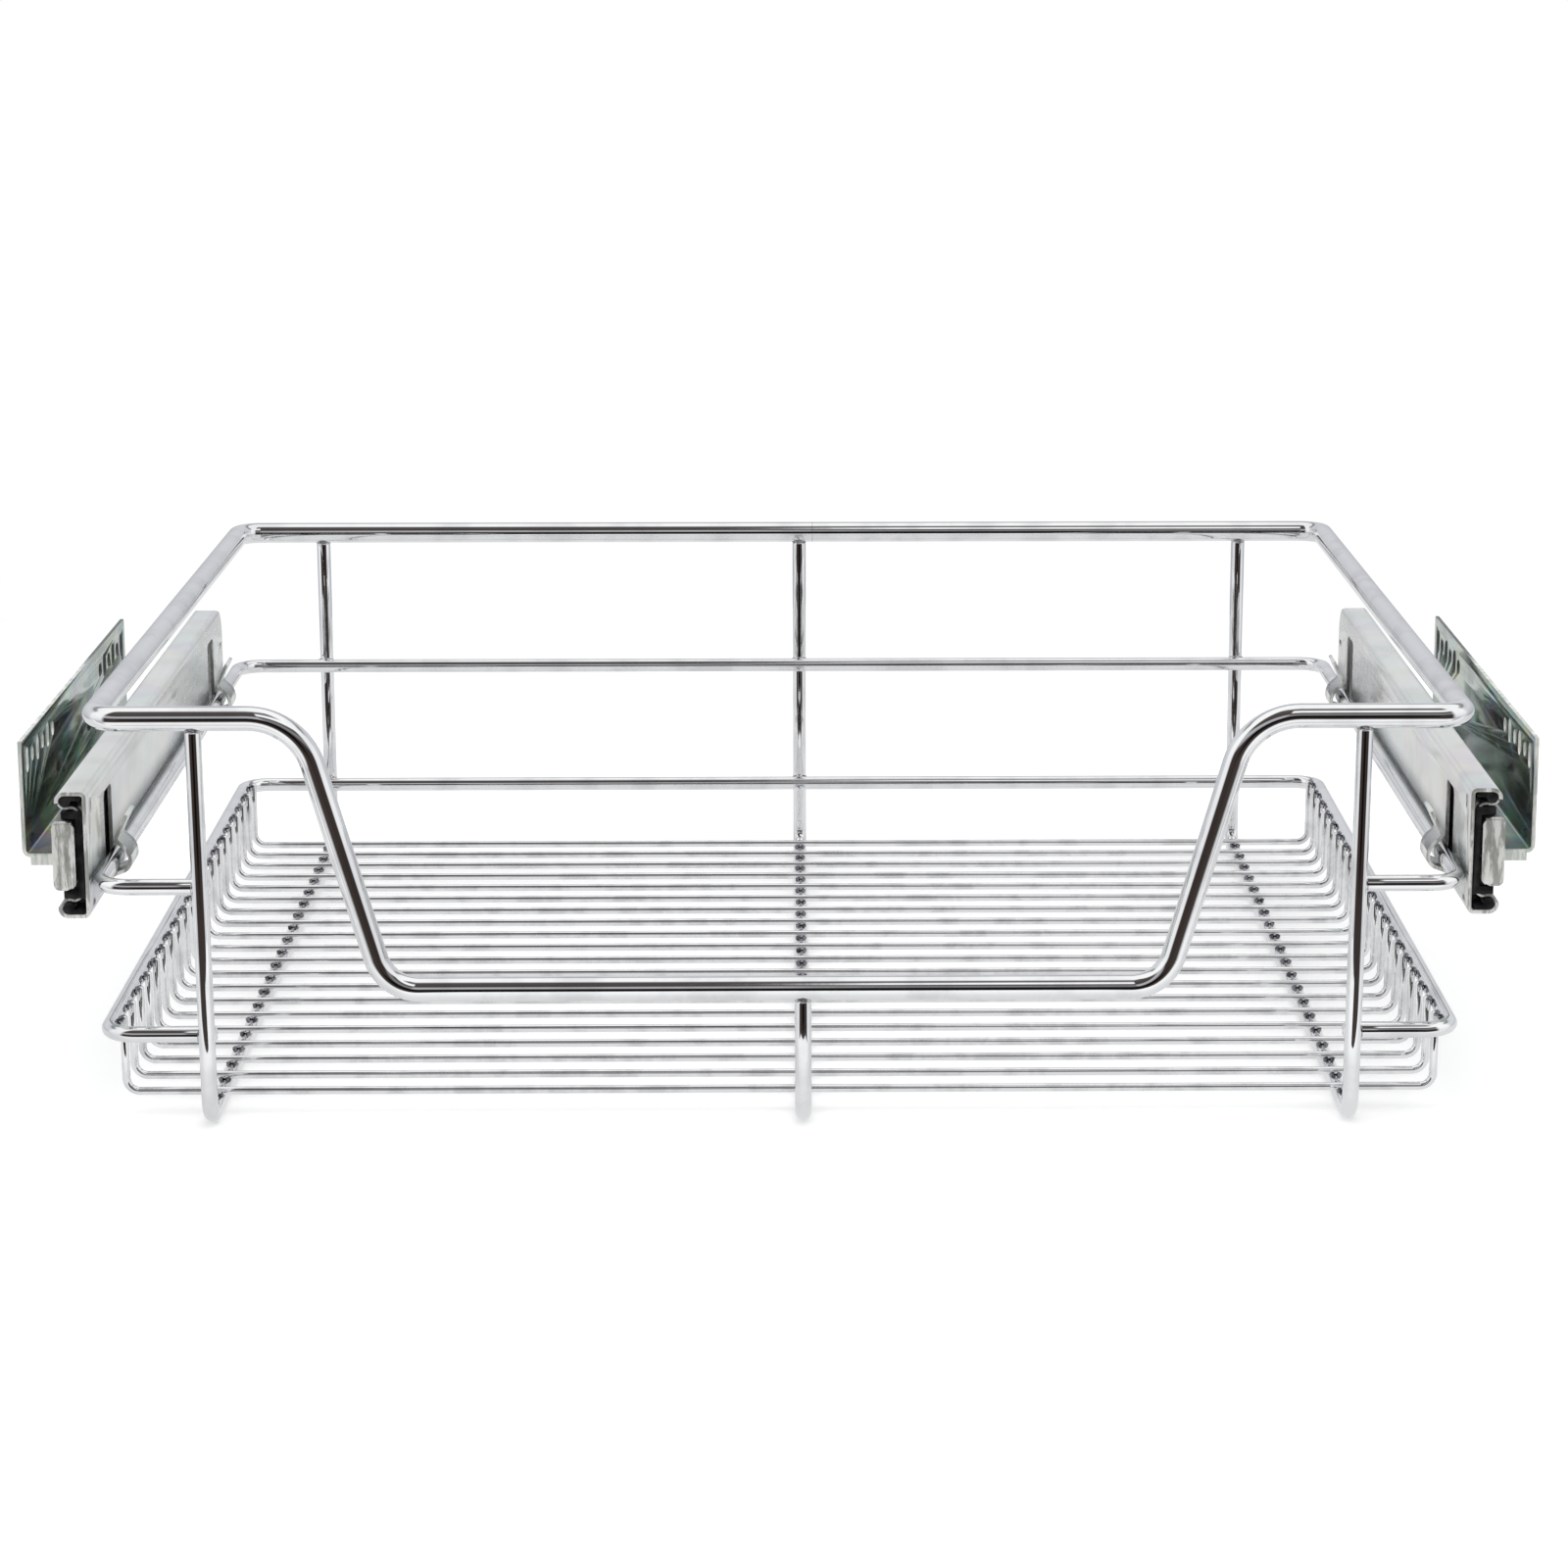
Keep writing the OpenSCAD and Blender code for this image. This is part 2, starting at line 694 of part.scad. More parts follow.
// ---- plastic ends, drawn for the right side ----
// Guide in the front of the intermediate member: a thin face over the
// member's edge and a block inside each flange
module front_guide() {
    gap = 0.15;
    face_t = member_end_gap - 0.8;
    face_y = inter_y - gap - face_t;
    block_low = cabinet_half_h + 0.45;
    block_top = inner_ball_v + groove_r - 0.6;
    block_out = inner_ball_u + 3.4;
    color("black") {
        along_runner(face_y, face_t) {
            translate([cage_web_u + 0.2, -block_top])
                square([inner_web_u - cage_web_u, 2 * block_top]);
            for (s = [-1, 1])
                translate([cage_web_u + 0.2, s * (block_low + block_top) / 2])
                    translate([0, (block_low - block_top) / 2])
                        square([block_out - cage_web_u - 0.2, block_top - block_low]);
        }
        along_runner(face_y, guide_len)
            for (s = [-1, 1])
                translate([inner_ball_u, s * (block_low + block_top) / 2])
                    translate([0, (block_low - block_top) / 2])
                        square([block_out - inner_ball_u, block_top - block_low]);
    }
}

// Bumpers in the front of the channel, above and below the S shaped flanges
module front_bumpers() {
    gap = 0.1;
    r = groove_r - fit_gap;
    start_u = channel_t + sheet_bend_r;
    low = outer_ball_v + 0.4;
    top = runner_h / 2 - channel_t - gap;
    color("black")
        along_runner(runner_y + gap, guide_len)
            for (s = [-1, 1])
                scale([1, s]) {
                    translate([outer_ball_u, outer_ball_v])
                        circle(r = r);
                    translate([start_u, low])
                        square([outer_ball_u - start_u, top - low]);
                }
}

module left_basket_channel() mirrored() basket_channel();
module right_basket_channel() basket_channel();
module left_intermediate_member() mirrored() intermediate_member();
module right_intermediate_member() intermediate_member();
module left_cabinet_member() mirrored() cabinet_member();
module right_cabinet_member() cabinet_member();
module left_bracket() mirrored() bracket();
module right_bracket() bracket();
module left_bracket_rivets() mirrored() bracket_rivets();
module right_bracket_rivets() bracket_rivets();
module left_outer_cage() mirrored() outer_cage();
module right_outer_cage() outer_cage();
module left_inner_cage() mirrored() inner_cage();
module right_inner_cage() inner_cage();
module left_outer_balls() mirrored() outer_balls();
module right_outer_balls() outer_balls();
module left_inner_balls() mirrored() inner_balls();
module right_inner_balls() inner_balls();
module left_front_guide() mirrored() front_guide();
module right_front_guide() front_guide();
module left_front_bumpers() mirrored() front_bumpers();
module right_front_bumpers() front_bumpers();

top_rail();
middle_rail();
lower_rail();
left_upright();
centre_upright();
right_upright();
cross_wires();
left_basket_channel();
right_basket_channel();
left_intermediate_member();
right_intermediate_member();
left_cabinet_member();
right_cabinet_member();
left_bracket();
right_bracket();
left_bracket_rivets();
right_bracket_rivets();
left_outer_cage();
right_outer_cage();
left_inner_cage();
right_inner_cage();
left_outer_balls();
right_outer_balls();
left_inner_balls();
right_inner_balls();
left_front_guide();
right_front_guide();
left_front_bumpers();
right_front_bumpers();
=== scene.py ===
"""Pull out cabinet basket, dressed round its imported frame.

The round wires of the basket are extruded along their straights and spun
round their bends, and the welds between them are modelled as beads. The
folded sheets of the runners and the brackets are copies of the frame's own
solids with broken edges, and the balls and their cages are the frame's own.
The rest is finish: bright chrome, satin zinc, passivated zinc, moulded
plastic.
"""

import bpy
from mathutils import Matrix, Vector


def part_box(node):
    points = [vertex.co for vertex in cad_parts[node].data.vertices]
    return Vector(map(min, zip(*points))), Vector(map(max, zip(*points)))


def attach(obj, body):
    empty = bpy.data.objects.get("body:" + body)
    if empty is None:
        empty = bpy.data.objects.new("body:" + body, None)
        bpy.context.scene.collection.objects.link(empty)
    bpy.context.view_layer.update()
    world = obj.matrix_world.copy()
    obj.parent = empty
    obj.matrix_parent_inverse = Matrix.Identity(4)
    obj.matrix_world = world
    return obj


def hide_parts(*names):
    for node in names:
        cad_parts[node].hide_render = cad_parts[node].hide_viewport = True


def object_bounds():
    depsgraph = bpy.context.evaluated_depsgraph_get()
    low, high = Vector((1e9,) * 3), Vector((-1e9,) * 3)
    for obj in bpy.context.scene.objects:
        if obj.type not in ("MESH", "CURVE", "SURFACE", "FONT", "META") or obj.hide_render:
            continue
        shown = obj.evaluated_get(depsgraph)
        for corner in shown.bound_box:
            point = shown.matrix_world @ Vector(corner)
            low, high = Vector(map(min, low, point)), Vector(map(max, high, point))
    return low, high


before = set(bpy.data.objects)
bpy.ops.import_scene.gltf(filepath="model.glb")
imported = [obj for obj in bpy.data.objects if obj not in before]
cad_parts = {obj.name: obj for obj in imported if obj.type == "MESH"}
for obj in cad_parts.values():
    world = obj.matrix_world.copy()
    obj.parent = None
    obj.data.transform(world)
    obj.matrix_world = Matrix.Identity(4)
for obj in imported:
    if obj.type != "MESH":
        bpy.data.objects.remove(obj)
CAD_BOX = [list(corner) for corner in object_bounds()]

import enum
import logging
import math
from dataclasses import dataclass, field

import bpy
from mathutils import Matrix, Vector

Colour = tuple[float, float, float]
Span = tuple[float, float]
Stops = tuple[tuple[float, Colour], ...]
Material = bpy.types.Material
Node = bpy.types.Node
Piece = bpy.types.Object
Socket = bpy.types.NodeSocket
Tree = bpy.types.NodeTree

log = logging.getLogger("basket")
MM = 0.001
# The bends of the frame's wires stand out this far past their straights.
SWELL = 0.05 * MM
RAILS = ("middle_rail", "lower_rail")
UPRIGHTS = ("left_upright", "centre_upright", "right_upright")
# The noises that roughen a surface stay mostly between these two values.
WAVE_LIMITS: Span = (0.3, 0.7)
BLACK: Colour = (0.0, 0.0, 0.0)
WHITE: Colour = (1.0, 1.0, 1.0)


class Side(enum.Enum):
    """The two sides of the basket; the value is the sign of X."""

    LEFT = -1
    RIGHT = 1

    @property
    def word(self) -> str:
        """The side's name as the frame's nodes and bodies have it."""
        return self.name.lower()


# ---------------------------------------------------------------- modelling
def deselect() -> None:
    """Deselects every object."""
    bpy.ops.object.select_all(action="DESELECT")


def only(obj: Piece) -> None:
    """Selects one object alone and makes it active.

    Args:
        obj: The object to work on.
    """
    deselect()
    obj.select_set(True)
    bpy.context.view_layer.objects.active = obj


def named(name: str) -> Piece:
    """Names the active object, which was just added or joined, and its mesh.

    Args:
        name: The name.

    Returns:
        The object.
    """
    piece = bpy.context.active_object
    piece.name = name
    piece.data.name = name
    return piece


def settle(obj: Piece) -> None:
    """Moves an object's place, turn and scale into its mesh."""
    only(obj)
    bpy.ops.object.transform_apply(location=True, rotation=True, scale=True)


def open_edit(obj: Piece, mode: str = "VERT") -> None:
    """Enters edit mode on one object with all of it selected.

    Args:
        obj: The object.
        mode: What is picked in it, VERT, EDGE or FACE.
    """
    only(obj)
    bpy.ops.object.mode_set(mode="EDIT")
    bpy.ops.mesh.select_mode(type=mode)
    bpy.ops.mesh.select_all(action="SELECT")


def open_edit_kept(obj: Piece) -> None:
    """Enters edit mode with the vertices that code has selected.

    Args:
        obj: The object, with no edge of it selected.
    """
    only(obj)
    for polygon in obj.data.polygons:
        polygon.select = False
    bpy.ops.object.mode_set(mode="EDIT")
    bpy.ops.mesh.select_mode(type="VERT")


def close_edit() -> None:
    """Leaves edit mode."""
    bpy.ops.object.mode_set(mode="OBJECT")


def smooth(obj: Piece, degrees: float) -> None:
    """Shades smooth across edges that turn less than an angle."""
    only(obj)
    bpy.ops.object.shade_smooth_by_angle(angle=math.radians(degrees))


def break_edges(obj: Piece, width: float, degrees: float = 38.0, segments: int = 2) -> None:
    """Rounds the sharp edges of a piece with an applied bevel.

    Args:
        obj: The piece.
        width: Width of the bevel in metres.
        degrees: Edges that turn more than this are rounded.
        segments: Number of facets across the round.
    """
    only(obj)
    bevel = obj.modifiers.new("broken edges", "BEVEL")
    bevel.width = width
    bevel.segments = segments
    bevel.limit_method = "ANGLE"
    bevel.angle_limit = math.radians(degrees)
    bpy.ops.object.modifier_apply(modifier=bevel.name)


def joined(name: str, parts: list[Piece]) -> Piece:
    """Joins several objects into one mesh whose object is at the origin.

    Args:
        name: Name of the joined piece.
        parts: The objects, the first of which stays.

    Returns:
        The joined piece.
    """
    deselect()
    for part in parts:
        part.select_set(True)
    bpy.context.view_layer.objects.active = parts[0]
    bpy.ops.object.join()
    whole = named(name)
    settle(whole)
    return whole


def copies(master: Piece, places: list[Matrix]) -> list[Piece]:
    """Copies a piece to several places, each copy with its own mesh.

    Args:
        master: The piece that is repeated; it is removed afterwards.
        places: Where each copy goes.

    Returns:
        The copies in the order of the places.
    """
    made = []
    for place in places:
        only(master)
        bpy.ops.object.duplicate(linked=False)
        copy = bpy.context.active_object
        copy.matrix_world = place @ master.matrix_world
        made.append(copy)
    bpy.data.objects.remove(master)
    return made


def finished(piece: Piece, body: str, slot: str, material: Material, *nodes: str) -> None:
    """Gives a piece its finish, its body and the nodes it stands for.

    Args:
        piece: The piece, in place.
        body: The body that it rides on.
        slot: The record's material slot; not used.
        material: Its finish.
        *nodes: CAD nodes that it replaces.
    """
    piece.data.materials.clear()
    piece.data.materials.append(material)
    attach(piece, body)
    if nodes:
        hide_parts(*nodes)
    log.info("%s: %d faces on %s", piece.name, len(piece.data.polygons), body)


# ---------------------------------------------------------------- node trees
class Shader:
    """A small hand for wiring one node tree."""

    def __init__(self, tree: Tree) -> None:
        """Keeps the tree that is wired."""
        self.tree = tree

    def feed(self, node: Node, inputs: dict) -> None:
        """Links or sets some inputs of a node.

        Args:
            node: The node.
            inputs: Sockets or values for its inputs, by name or number.
        """
        for key, value in inputs.items():
            if isinstance(value, Socket):
                self.tree.links.new(value, node.inputs[key])
            else:
                node.inputs[key].default_value = value

    def node(self, kind: str, inputs: dict | None = None, **settings: object) -> Node:
        """Adds a node.

        Args:
            kind: The node's type name.
            inputs: Sockets or values for its inputs, by name or number.
            **settings: Properties of the node.

        Returns:
            The node.
        """
        made = self.tree.nodes.new(kind)
        for key, value in settings.items():
            setattr(made, key, value)
        self.feed(made, inputs or {})
        return made

    def group(self, tree: Tree, inputs: dict) -> Node:
        """Places a node group."""
        return self.node("ShaderNodeGroup", inputs, node_tree=tree)

    def math(self, operation: str, a: object, b: object = 0.0, clamp: bool = False) -> Socket:
        """A Math node of two inputs."""
        made = self.node("ShaderNodeMath", {0: a, 1: b}, operation=operation, use_clamp=clamp)
        return made.outputs[0]

    def blend(self, a: Socket, b: Socket, share: float) -> Socket:
        """Adds two values, the second of which has a share."""
        return self.math("ADD", self.math("MULTIPLY", a, 1.0 - share), self.math("MULTIPLY", b, share))

    def span(self, value: Socket, limits: Span, to: Span = (0.0, 1.0)) -> Socket:
        """Maps a value between two limits onto a range, with soft ends."""
        inputs = {0: value, 1: limits[0], 2: limits[1], 3: to[0], 4: to[1]}
        return self.node("ShaderNodeMapRange", inputs, interpolation_type="SMOOTHSTEP").outputs[0]

    def noise(self, place: Socket, scale: object, detail: float, rough: float = 0.5) -> Socket:
        """A noise over coordinates, from 0 to 1."""
        inputs = {"Vector": place, "Scale": scale, "Detail": detail, "Roughness": rough}
        return self.node("ShaderNodeTexNoise", inputs).outputs[0]

    def mix(self, factor: object, a: object, b: object, blend: str = "MIX") -> Socket:
        """Mixes two colours.

        Args:
            factor: Share of the second colour, as a socket or a number.
            a: The first colour, as a socket or as RGB.
            b: The second colour.
            blend: How the second goes over the first.

        Returns:
            The colour socket.
        """
        under, over = (c if isinstance(c, Socket) else (*c, 1.0) for c in (a, b))
        inputs = {0: factor, 6: under, 7: over}
        return self.node("ShaderNodeMix", inputs, data_type="RGBA", blend_type=blend).outputs[2]

    def ramp(self, value: Socket, stops: Stops) -> Socket:
        """A colour ramp over a value.

        Args:
            value: The value, from 0 to 1.
            stops: Positions and colours, in order.

        Returns:
            The colour socket.
        """
        made = self.node("ShaderNodeValToRGB", {0: value})
        band = made.color_ramp
        while len(band.elements) < len(stops):
            band.elements.new(0.5)
        for element, (place, colour) in zip(band.elements, stops):
            element.position = place
            element.color = (*colour, 1.0)
        return made.outputs[0]


def new_group(
    name: str, inputs: dict[str, float], outputs: dict[str, str]
) -> tuple[Shader, Node, Node]:
    """Starts a shader node group with named sockets.

    Args:
        name: The group's name.
        inputs: Input names and their defaults.
        outputs: Output names and their socket types.

    Returns:
        The shader hand, the group's input node and its output node.
    """
    tree = bpy.data.node_groups.new(name, "ShaderNodeTree")
    face = tree.interface
    face.new_socket(name="Vector", in_out="INPUT", socket_type="NodeSocketVector")
    for label, value in inputs.items():
        socket = face.new_socket(name=label, in_out="INPUT", socket_type="NodeSocketFloat")
        socket.default_value = value
    for label, kind in outputs.items():
        face.new_socket(name=label, in_out="OUTPUT", socket_type=kind)
    hand = Shader(tree)
    return hand, hand.node("NodeGroupInput"), hand.node("NodeGroupOutput")


def handling_marks() -> Tree:
    """Builds the group for faint smears and drawn waviness along a surface.

    Returns:
        The group, with outputs Smear and Wave, both from 0 to 1.
    """
    hand, start, end = new_group(
        "handling marks", {"Scale": 60.0}, {"Smear": "NodeSocketFloat", "Wave": "NodeSocketFloat"}
    )
    place, scale = start.outputs["Vector"], start.outputs["Scale"]
    fine_times, fine_share = 5.0, 0.3
    smear_limits = (0.42, 0.68)
    wide = hand.noise(place, scale, detail=4.0)
    fine = hand.noise(place, hand.math("MULTIPLY", scale, fine_times), detail=3.0, rough=0.6)
    smear = hand.span(wide, smear_limits)
    hand.feed(end, {"Smear": smear, "Wave": hand.blend(wide, fine, fine_share)})
    return hand.tree


def passivation_bloom() -> Tree:
    """Builds the group for the rainbow bloom of passivated zinc.

    Bare is the brightness of the metal between the clouds of bloom.

    Returns:
        The group, with the output Colour.
    """
    hand, start, end = new_group(
        "passivation bloom",
        {"Scale": 14.0, "Strength": 0.5, "Bare": 1.0},
        {"Colour": "NodeSocketColor"},
    )
    rainbow = (
        (0.0, (0.80, 0.82, 0.80)), (0.22, (0.92, 0.86, 0.40)), (0.42, (0.84, 0.52, 0.76)),
        (0.60, (0.46, 0.56, 0.88)), (0.78, (0.44, 0.86, 0.62)), (1.0, (0.80, 0.82, 0.80)),
    )
    bare_zinc = (0.80, 0.81, 0.80)
    rainbow_turns, cloud_times, cloud_limits = 3.2, 2.1, (0.42, 0.60)
    place, scale = start.outputs["Vector"], start.outputs["Scale"]
    drift = hand.noise(place, scale, detail=2.5)
    film = hand.math("FRACT", hand.math("MULTIPLY", drift, rainbow_turns))
    cloud = hand.noise(place, hand.math("MULTIPLY", scale, cloud_times), detail=5.0)
    amount = hand.math("MULTIPLY", hand.span(cloud, cloud_limits), start.outputs["Strength"])
    bare = hand.mix(start.outputs["Bare"], BLACK, bare_zinc)
    hand.feed(end, {"Colour": hand.mix(amount, bare, hand.ramp(film, rainbow))})
    return hand.tree


class Effects:
    """The node groups that several finishes share."""

    def __init__(self) -> None:
        """Builds each group once."""
        self.marks = handling_marks()
        self.bloom = passivation_bloom()


def blank_material(name: str) -> tuple[Material, Shader]:
    """Makes a material with an empty node tree.

    Args:
        name: The material's name.

    Returns:
        The material and a hand for its tree.
    """
    material = bpy.data.materials.new(name)
    material.use_nodes = True
    material.node_tree.nodes.clear()
    return material, Shader(material.node_tree)


class Skin:
    """A new material with one Principled shader on Object coordinates."""

    def __init__(self, name: str, effects: Effects) -> None:
        """Starts the material.

        Args:
            name: The material's name.
            effects: The shared node groups.
        """
        self.material, self.hand = blank_material(name)
        self.effects = effects
        self.shader = self.hand.node("ShaderNodeBsdfPrincipled")
        self.hand.node("ShaderNodeOutputMaterial", {"Surface": self.shader.outputs[0]})
        self.place = self.hand.node("ShaderNodeTexCoord").outputs["Object"]

    def stretched(self, scale: tuple[float, float, float]) -> Socket:
        """The surface's coordinates, scaled along each axis."""
        return self.hand.node("ShaderNodeMapping", {"Vector": self.place, "Scale": scale}).outputs[0]

    def marks(self, scale: float, place: Socket | None = None) -> tuple[Socket, Socket]:
        """Lays handling marks over the surface.

        Args:
            scale: Their fineness.
            place: Coordinates to use in place of the surface's own.

        Returns:
            The smears and the waviness, both from 0 to 1.
        """
        place = self.place if place is None else place
        made = self.hand.group(self.effects.marks, {"Vector": place, "Scale": scale})
        return made.outputs["Smear"], made.outputs["Wave"]

    def relief(self, height: Socket, strength: float, depth: float) -> None:
        """Bumps the surface by a value, whose whole range is a depth in metres."""
        inputs = {"Strength": strength, "Distance": depth, "Height": height}
        self.dress({"Normal": self.hand.node("ShaderNodeBump", inputs).outputs[0]})

    def dress(self, inputs: dict) -> None:
        """Links or sets inputs of the Principled shader."""
        self.hand.feed(self.shader, inputs)


@dataclass(frozen=True)
class ChromeFinish:
    """Bright electroplated chrome over drawn wire.

    Attributes:
        name: The material's name.
        bright: Colour of the clean metal.
        dull: Colour under the smears.
        polish: Roughness at the least and at the most wavy places.
        mark_scale: Fineness of the marks.
        wave_depth: Depth of the waviness in metres.
        wave_strength: How much of it shows.
        wave_limits: Waviness at which the roughness is least and most.
    """

    name: str
    bright: Colour = (0.93, 0.935, 0.94)
    dull: Colour = (0.80, 0.805, 0.815)
    polish: Span = (0.02, 0.07)
    mark_scale: float = 55.0
    wave_depth: float = 0.04 * MM
    wave_strength: float = 0.25
    wave_limits: Span = (0.3, 0.75)

    def material(self, effects: Effects) -> Material:
        """Builds the chrome.

        Args:
            effects: The shared node groups.

        Returns:
            The material.
        """
        skin = Skin(self.name, effects)
        smear, wave = skin.marks(self.mark_scale)
        skin.relief(wave, self.wave_strength, self.wave_depth)
        skin.dress({
            "Base Color": skin.hand.mix(smear, self.bright, self.dull),
            "Roughness": skin.hand.span(wave, self.wave_limits, self.polish),
            "Metallic": 1.0,
        })
        return skin.material


@dataclass(frozen=True)
class ZincFinish:
    """Zinc plated sheet with rolling lines along Y and a passivation bloom.

    Attributes:
        name: The material's name.
        base: Tint of the plating.
        bloom: Strength of the rainbow.
        bloom_scale: Its fineness.
        polish: Roughness at the smoothest and at the dullest places.
        metal: How metallic the plating is.
        rim: Tint of its gloss.
        bare: Brightness of the metal between the clouds of bloom.
        grain: Strength of the rolling lines.
        grain_depth: Their depth in metres.
        grain_scale: Their fineness along X, Y and Z.
        grain_share: Their share in the roughness, beside the waviness.
        mark_scale: Fineness of the marks.
        worn: Colour under the smears.
        worn_share: How much of it they show.
        grease: Heights between which a painted dark line fades upwards: painted shade for the contact
            shadow and dark reflection of the wire welded below it.
        grease_colour: Colour of that painted shade.
        grease_share: How much of it shows where it is darkest.
    """

    name: str
    base: Colour
    bloom: float
    bloom_scale: float
    polish: Span
    metal: float = 0.5
    rim: Colour = WHITE
    bare: float = 1.0
    grain: float = 0.06
    grain_depth: float = 0.03 * MM
    grain_scale: tuple[float, float, float] = (900.0, 12.0, 900.0)
    grain_share: float = 0.25
    mark_scale: float = 42.0
    worn: Colour = (0.30, 0.31, 0.30)
    worn_share: float = 0.16
    grease: Span | None = None
    grease_colour: Colour = (0.10, 0.115, 0.12)
    grease_share: float = 0.84

    def material(self, effects: Effects) -> Material:
        """Builds the zinc.

        Args:
            effects: The shared node groups.

        Returns:
            The material.
        """
        skin = Skin(self.name, effects)
        hand = skin.hand
        smear, wave = skin.marks(self.mark_scale)
        settings = {"Scale": self.bloom_scale, "Strength": self.bloom, "Bare": self.bare}
        film = hand.group(effects.bloom, {"Vector": skin.place, **settings})
        colour = hand.mix(1.0, film.outputs["Colour"], self.base, "MULTIPLY")
        colour = hand.mix(hand.math("MULTIPLY", smear, self.worn_share), colour, self.worn)
        # Painted shade: a dark band over the zinc just above the welded wire, for its contact shadow
        # and dark reflection.
        if self.grease:
            colour = hand.mix(self._grease_mask(skin), colour, self.grease_colour)
        rolled = hand.noise(skin.stretched(self.grain_scale), 1.0, detail=3.0)
        dull = hand.blend(wave, rolled, self.grain_share)
        skin.relief(rolled, self.grain, self.grain_depth)
        skin.dress({
            "Base Color": colour,
            "Roughness": hand.span(dull, WAVE_LIMITS, self.polish),
            "Metallic": self.metal,
            "Specular Tint": (*self.rim, 1.0),
        })
        return skin.material

    def _grease_mask(self, skin: Skin) -> Socket:
        """The painted shade line above the wire, sharp below and faded above.

        Args:
            skin: The material.

        Returns:
            The grease's share of the colour.
        """
        height = skin.hand.node("ShaderNodeSeparateXYZ", {0: skin.place}).outputs[2]
        fade = skin.hand.span(height, self.grease, (self.grease_share, 0.0))
        above = skin.hand.math("GREATER_THAN", height, self.grease[0])
        return skin.hand.math("MULTIPLY", fade, above)


@dataclass(frozen=True)
class PlasticFinish:
    """Black moulded plastic with an oily sheen.

    Attributes:
        name: The material's name.
        base: Colour of the clean plastic.
        dusty: Colour under the smears.
        polish: Roughness at the smoothest and at the dullest places.
        gloss: Strength of its highlights.
        mark_scale: Fineness of the marks.
        wave_depth: Depth of the waviness in metres.
        wave_strength: How much of it shows.
    """

    name: str
    base: Colour = (0.006, 0.006, 0.007)
    dusty: Colour = (0.02, 0.02, 0.02)
    polish: Span = (0.3, 0.5)
    gloss: float = 0.25
    mark_scale: float = 210.0
    wave_depth: float = 0.05 * MM
    wave_strength: float = 0.3

    def material(self, effects: Effects) -> Material:
        """Builds the plastic.

        Args:
            effects: The shared node groups.

        Returns:
            The material.
        """
        skin = Skin(self.name, effects)
        smear, wave = skin.marks(self.mark_scale)
        skin.relief(wave, self.wave_strength, self.wave_depth)
        skin.dress({
            "Base Color": skin.hand.mix(smear, self.base, self.dusty),
            "Roughness": skin.hand.span(wave, WAVE_LIMITS, self.polish),
            "Specular IOR Level": self.gloss,
        })
        return skin.material


@dataclass(frozen=True)
class CutEdgeFinish:
    """Pale sheared edges and end faces of the sheets, streaked by the tool.

    Attributes:
        name: The material's name.
        pale: Colour of the bright streaks.
        shade: Colour between them.
        metal: How metallic the edge is.
        polish: Roughness at the smoothest and at the dullest places.
        mark_scale: Fineness of the marks.
        stretch: Their scale along X, Y and Z, so that streaks run upright.
        streak_limits: Waviness at which a streak begins and is full.
        wave_depth: Depth of the waviness in metres.
        wave_strength: How much of it shows.
        dim: Places along Y between which the edge turns dark, painted shade on the walls and edges that
            lie behind.
        dimmed: The colour of that painted shade behind them.
    """

    name: str
    pale: Colour
    shade: Colour
    metal: float = 0.3
    polish: Span = (0.25, 0.45)
    mark_scale: float = 40.0
    stretch: tuple[float, float, float] = (9.0, 9.0, 1.6)
    streak_limits: Span = (0.44, 0.58)
    wave_depth: float = 0.04 * MM
    wave_strength: float = 0.3
    dim: Span | None = None
    dimmed: Colour = (0.10, 0.115, 0.11)

    def material(self, effects: Effects) -> Material:
        """Builds the cut edge.

        Args:
            effects: The shared node groups.

        Returns:
            The material.
        """
        skin = Skin(self.name, effects)
        hand = skin.hand
        wave = skin.marks(self.mark_scale, skin.stretched(self.stretch))[1]
        colour = hand.mix(hand.span(wave, self.streak_limits), self.shade, self.pale)
        # Painted shade: edges further back are darkened by their place along Y.
        if self.dim:
            length_way = hand.node("ShaderNodeSeparateXYZ", {0: skin.place}).outputs[1]
            colour = hand.mix(hand.span(length_way, self.dim), colour, self.dimmed)
        skin.relief(wave, self.wave_strength, self.wave_depth)
        skin.dress({
            "Base Color": colour,
            "Roughness": hand.span(wave, WAVE_LIMITS, self.polish),
            "Metallic": self.metal,
        })
        return skin.material


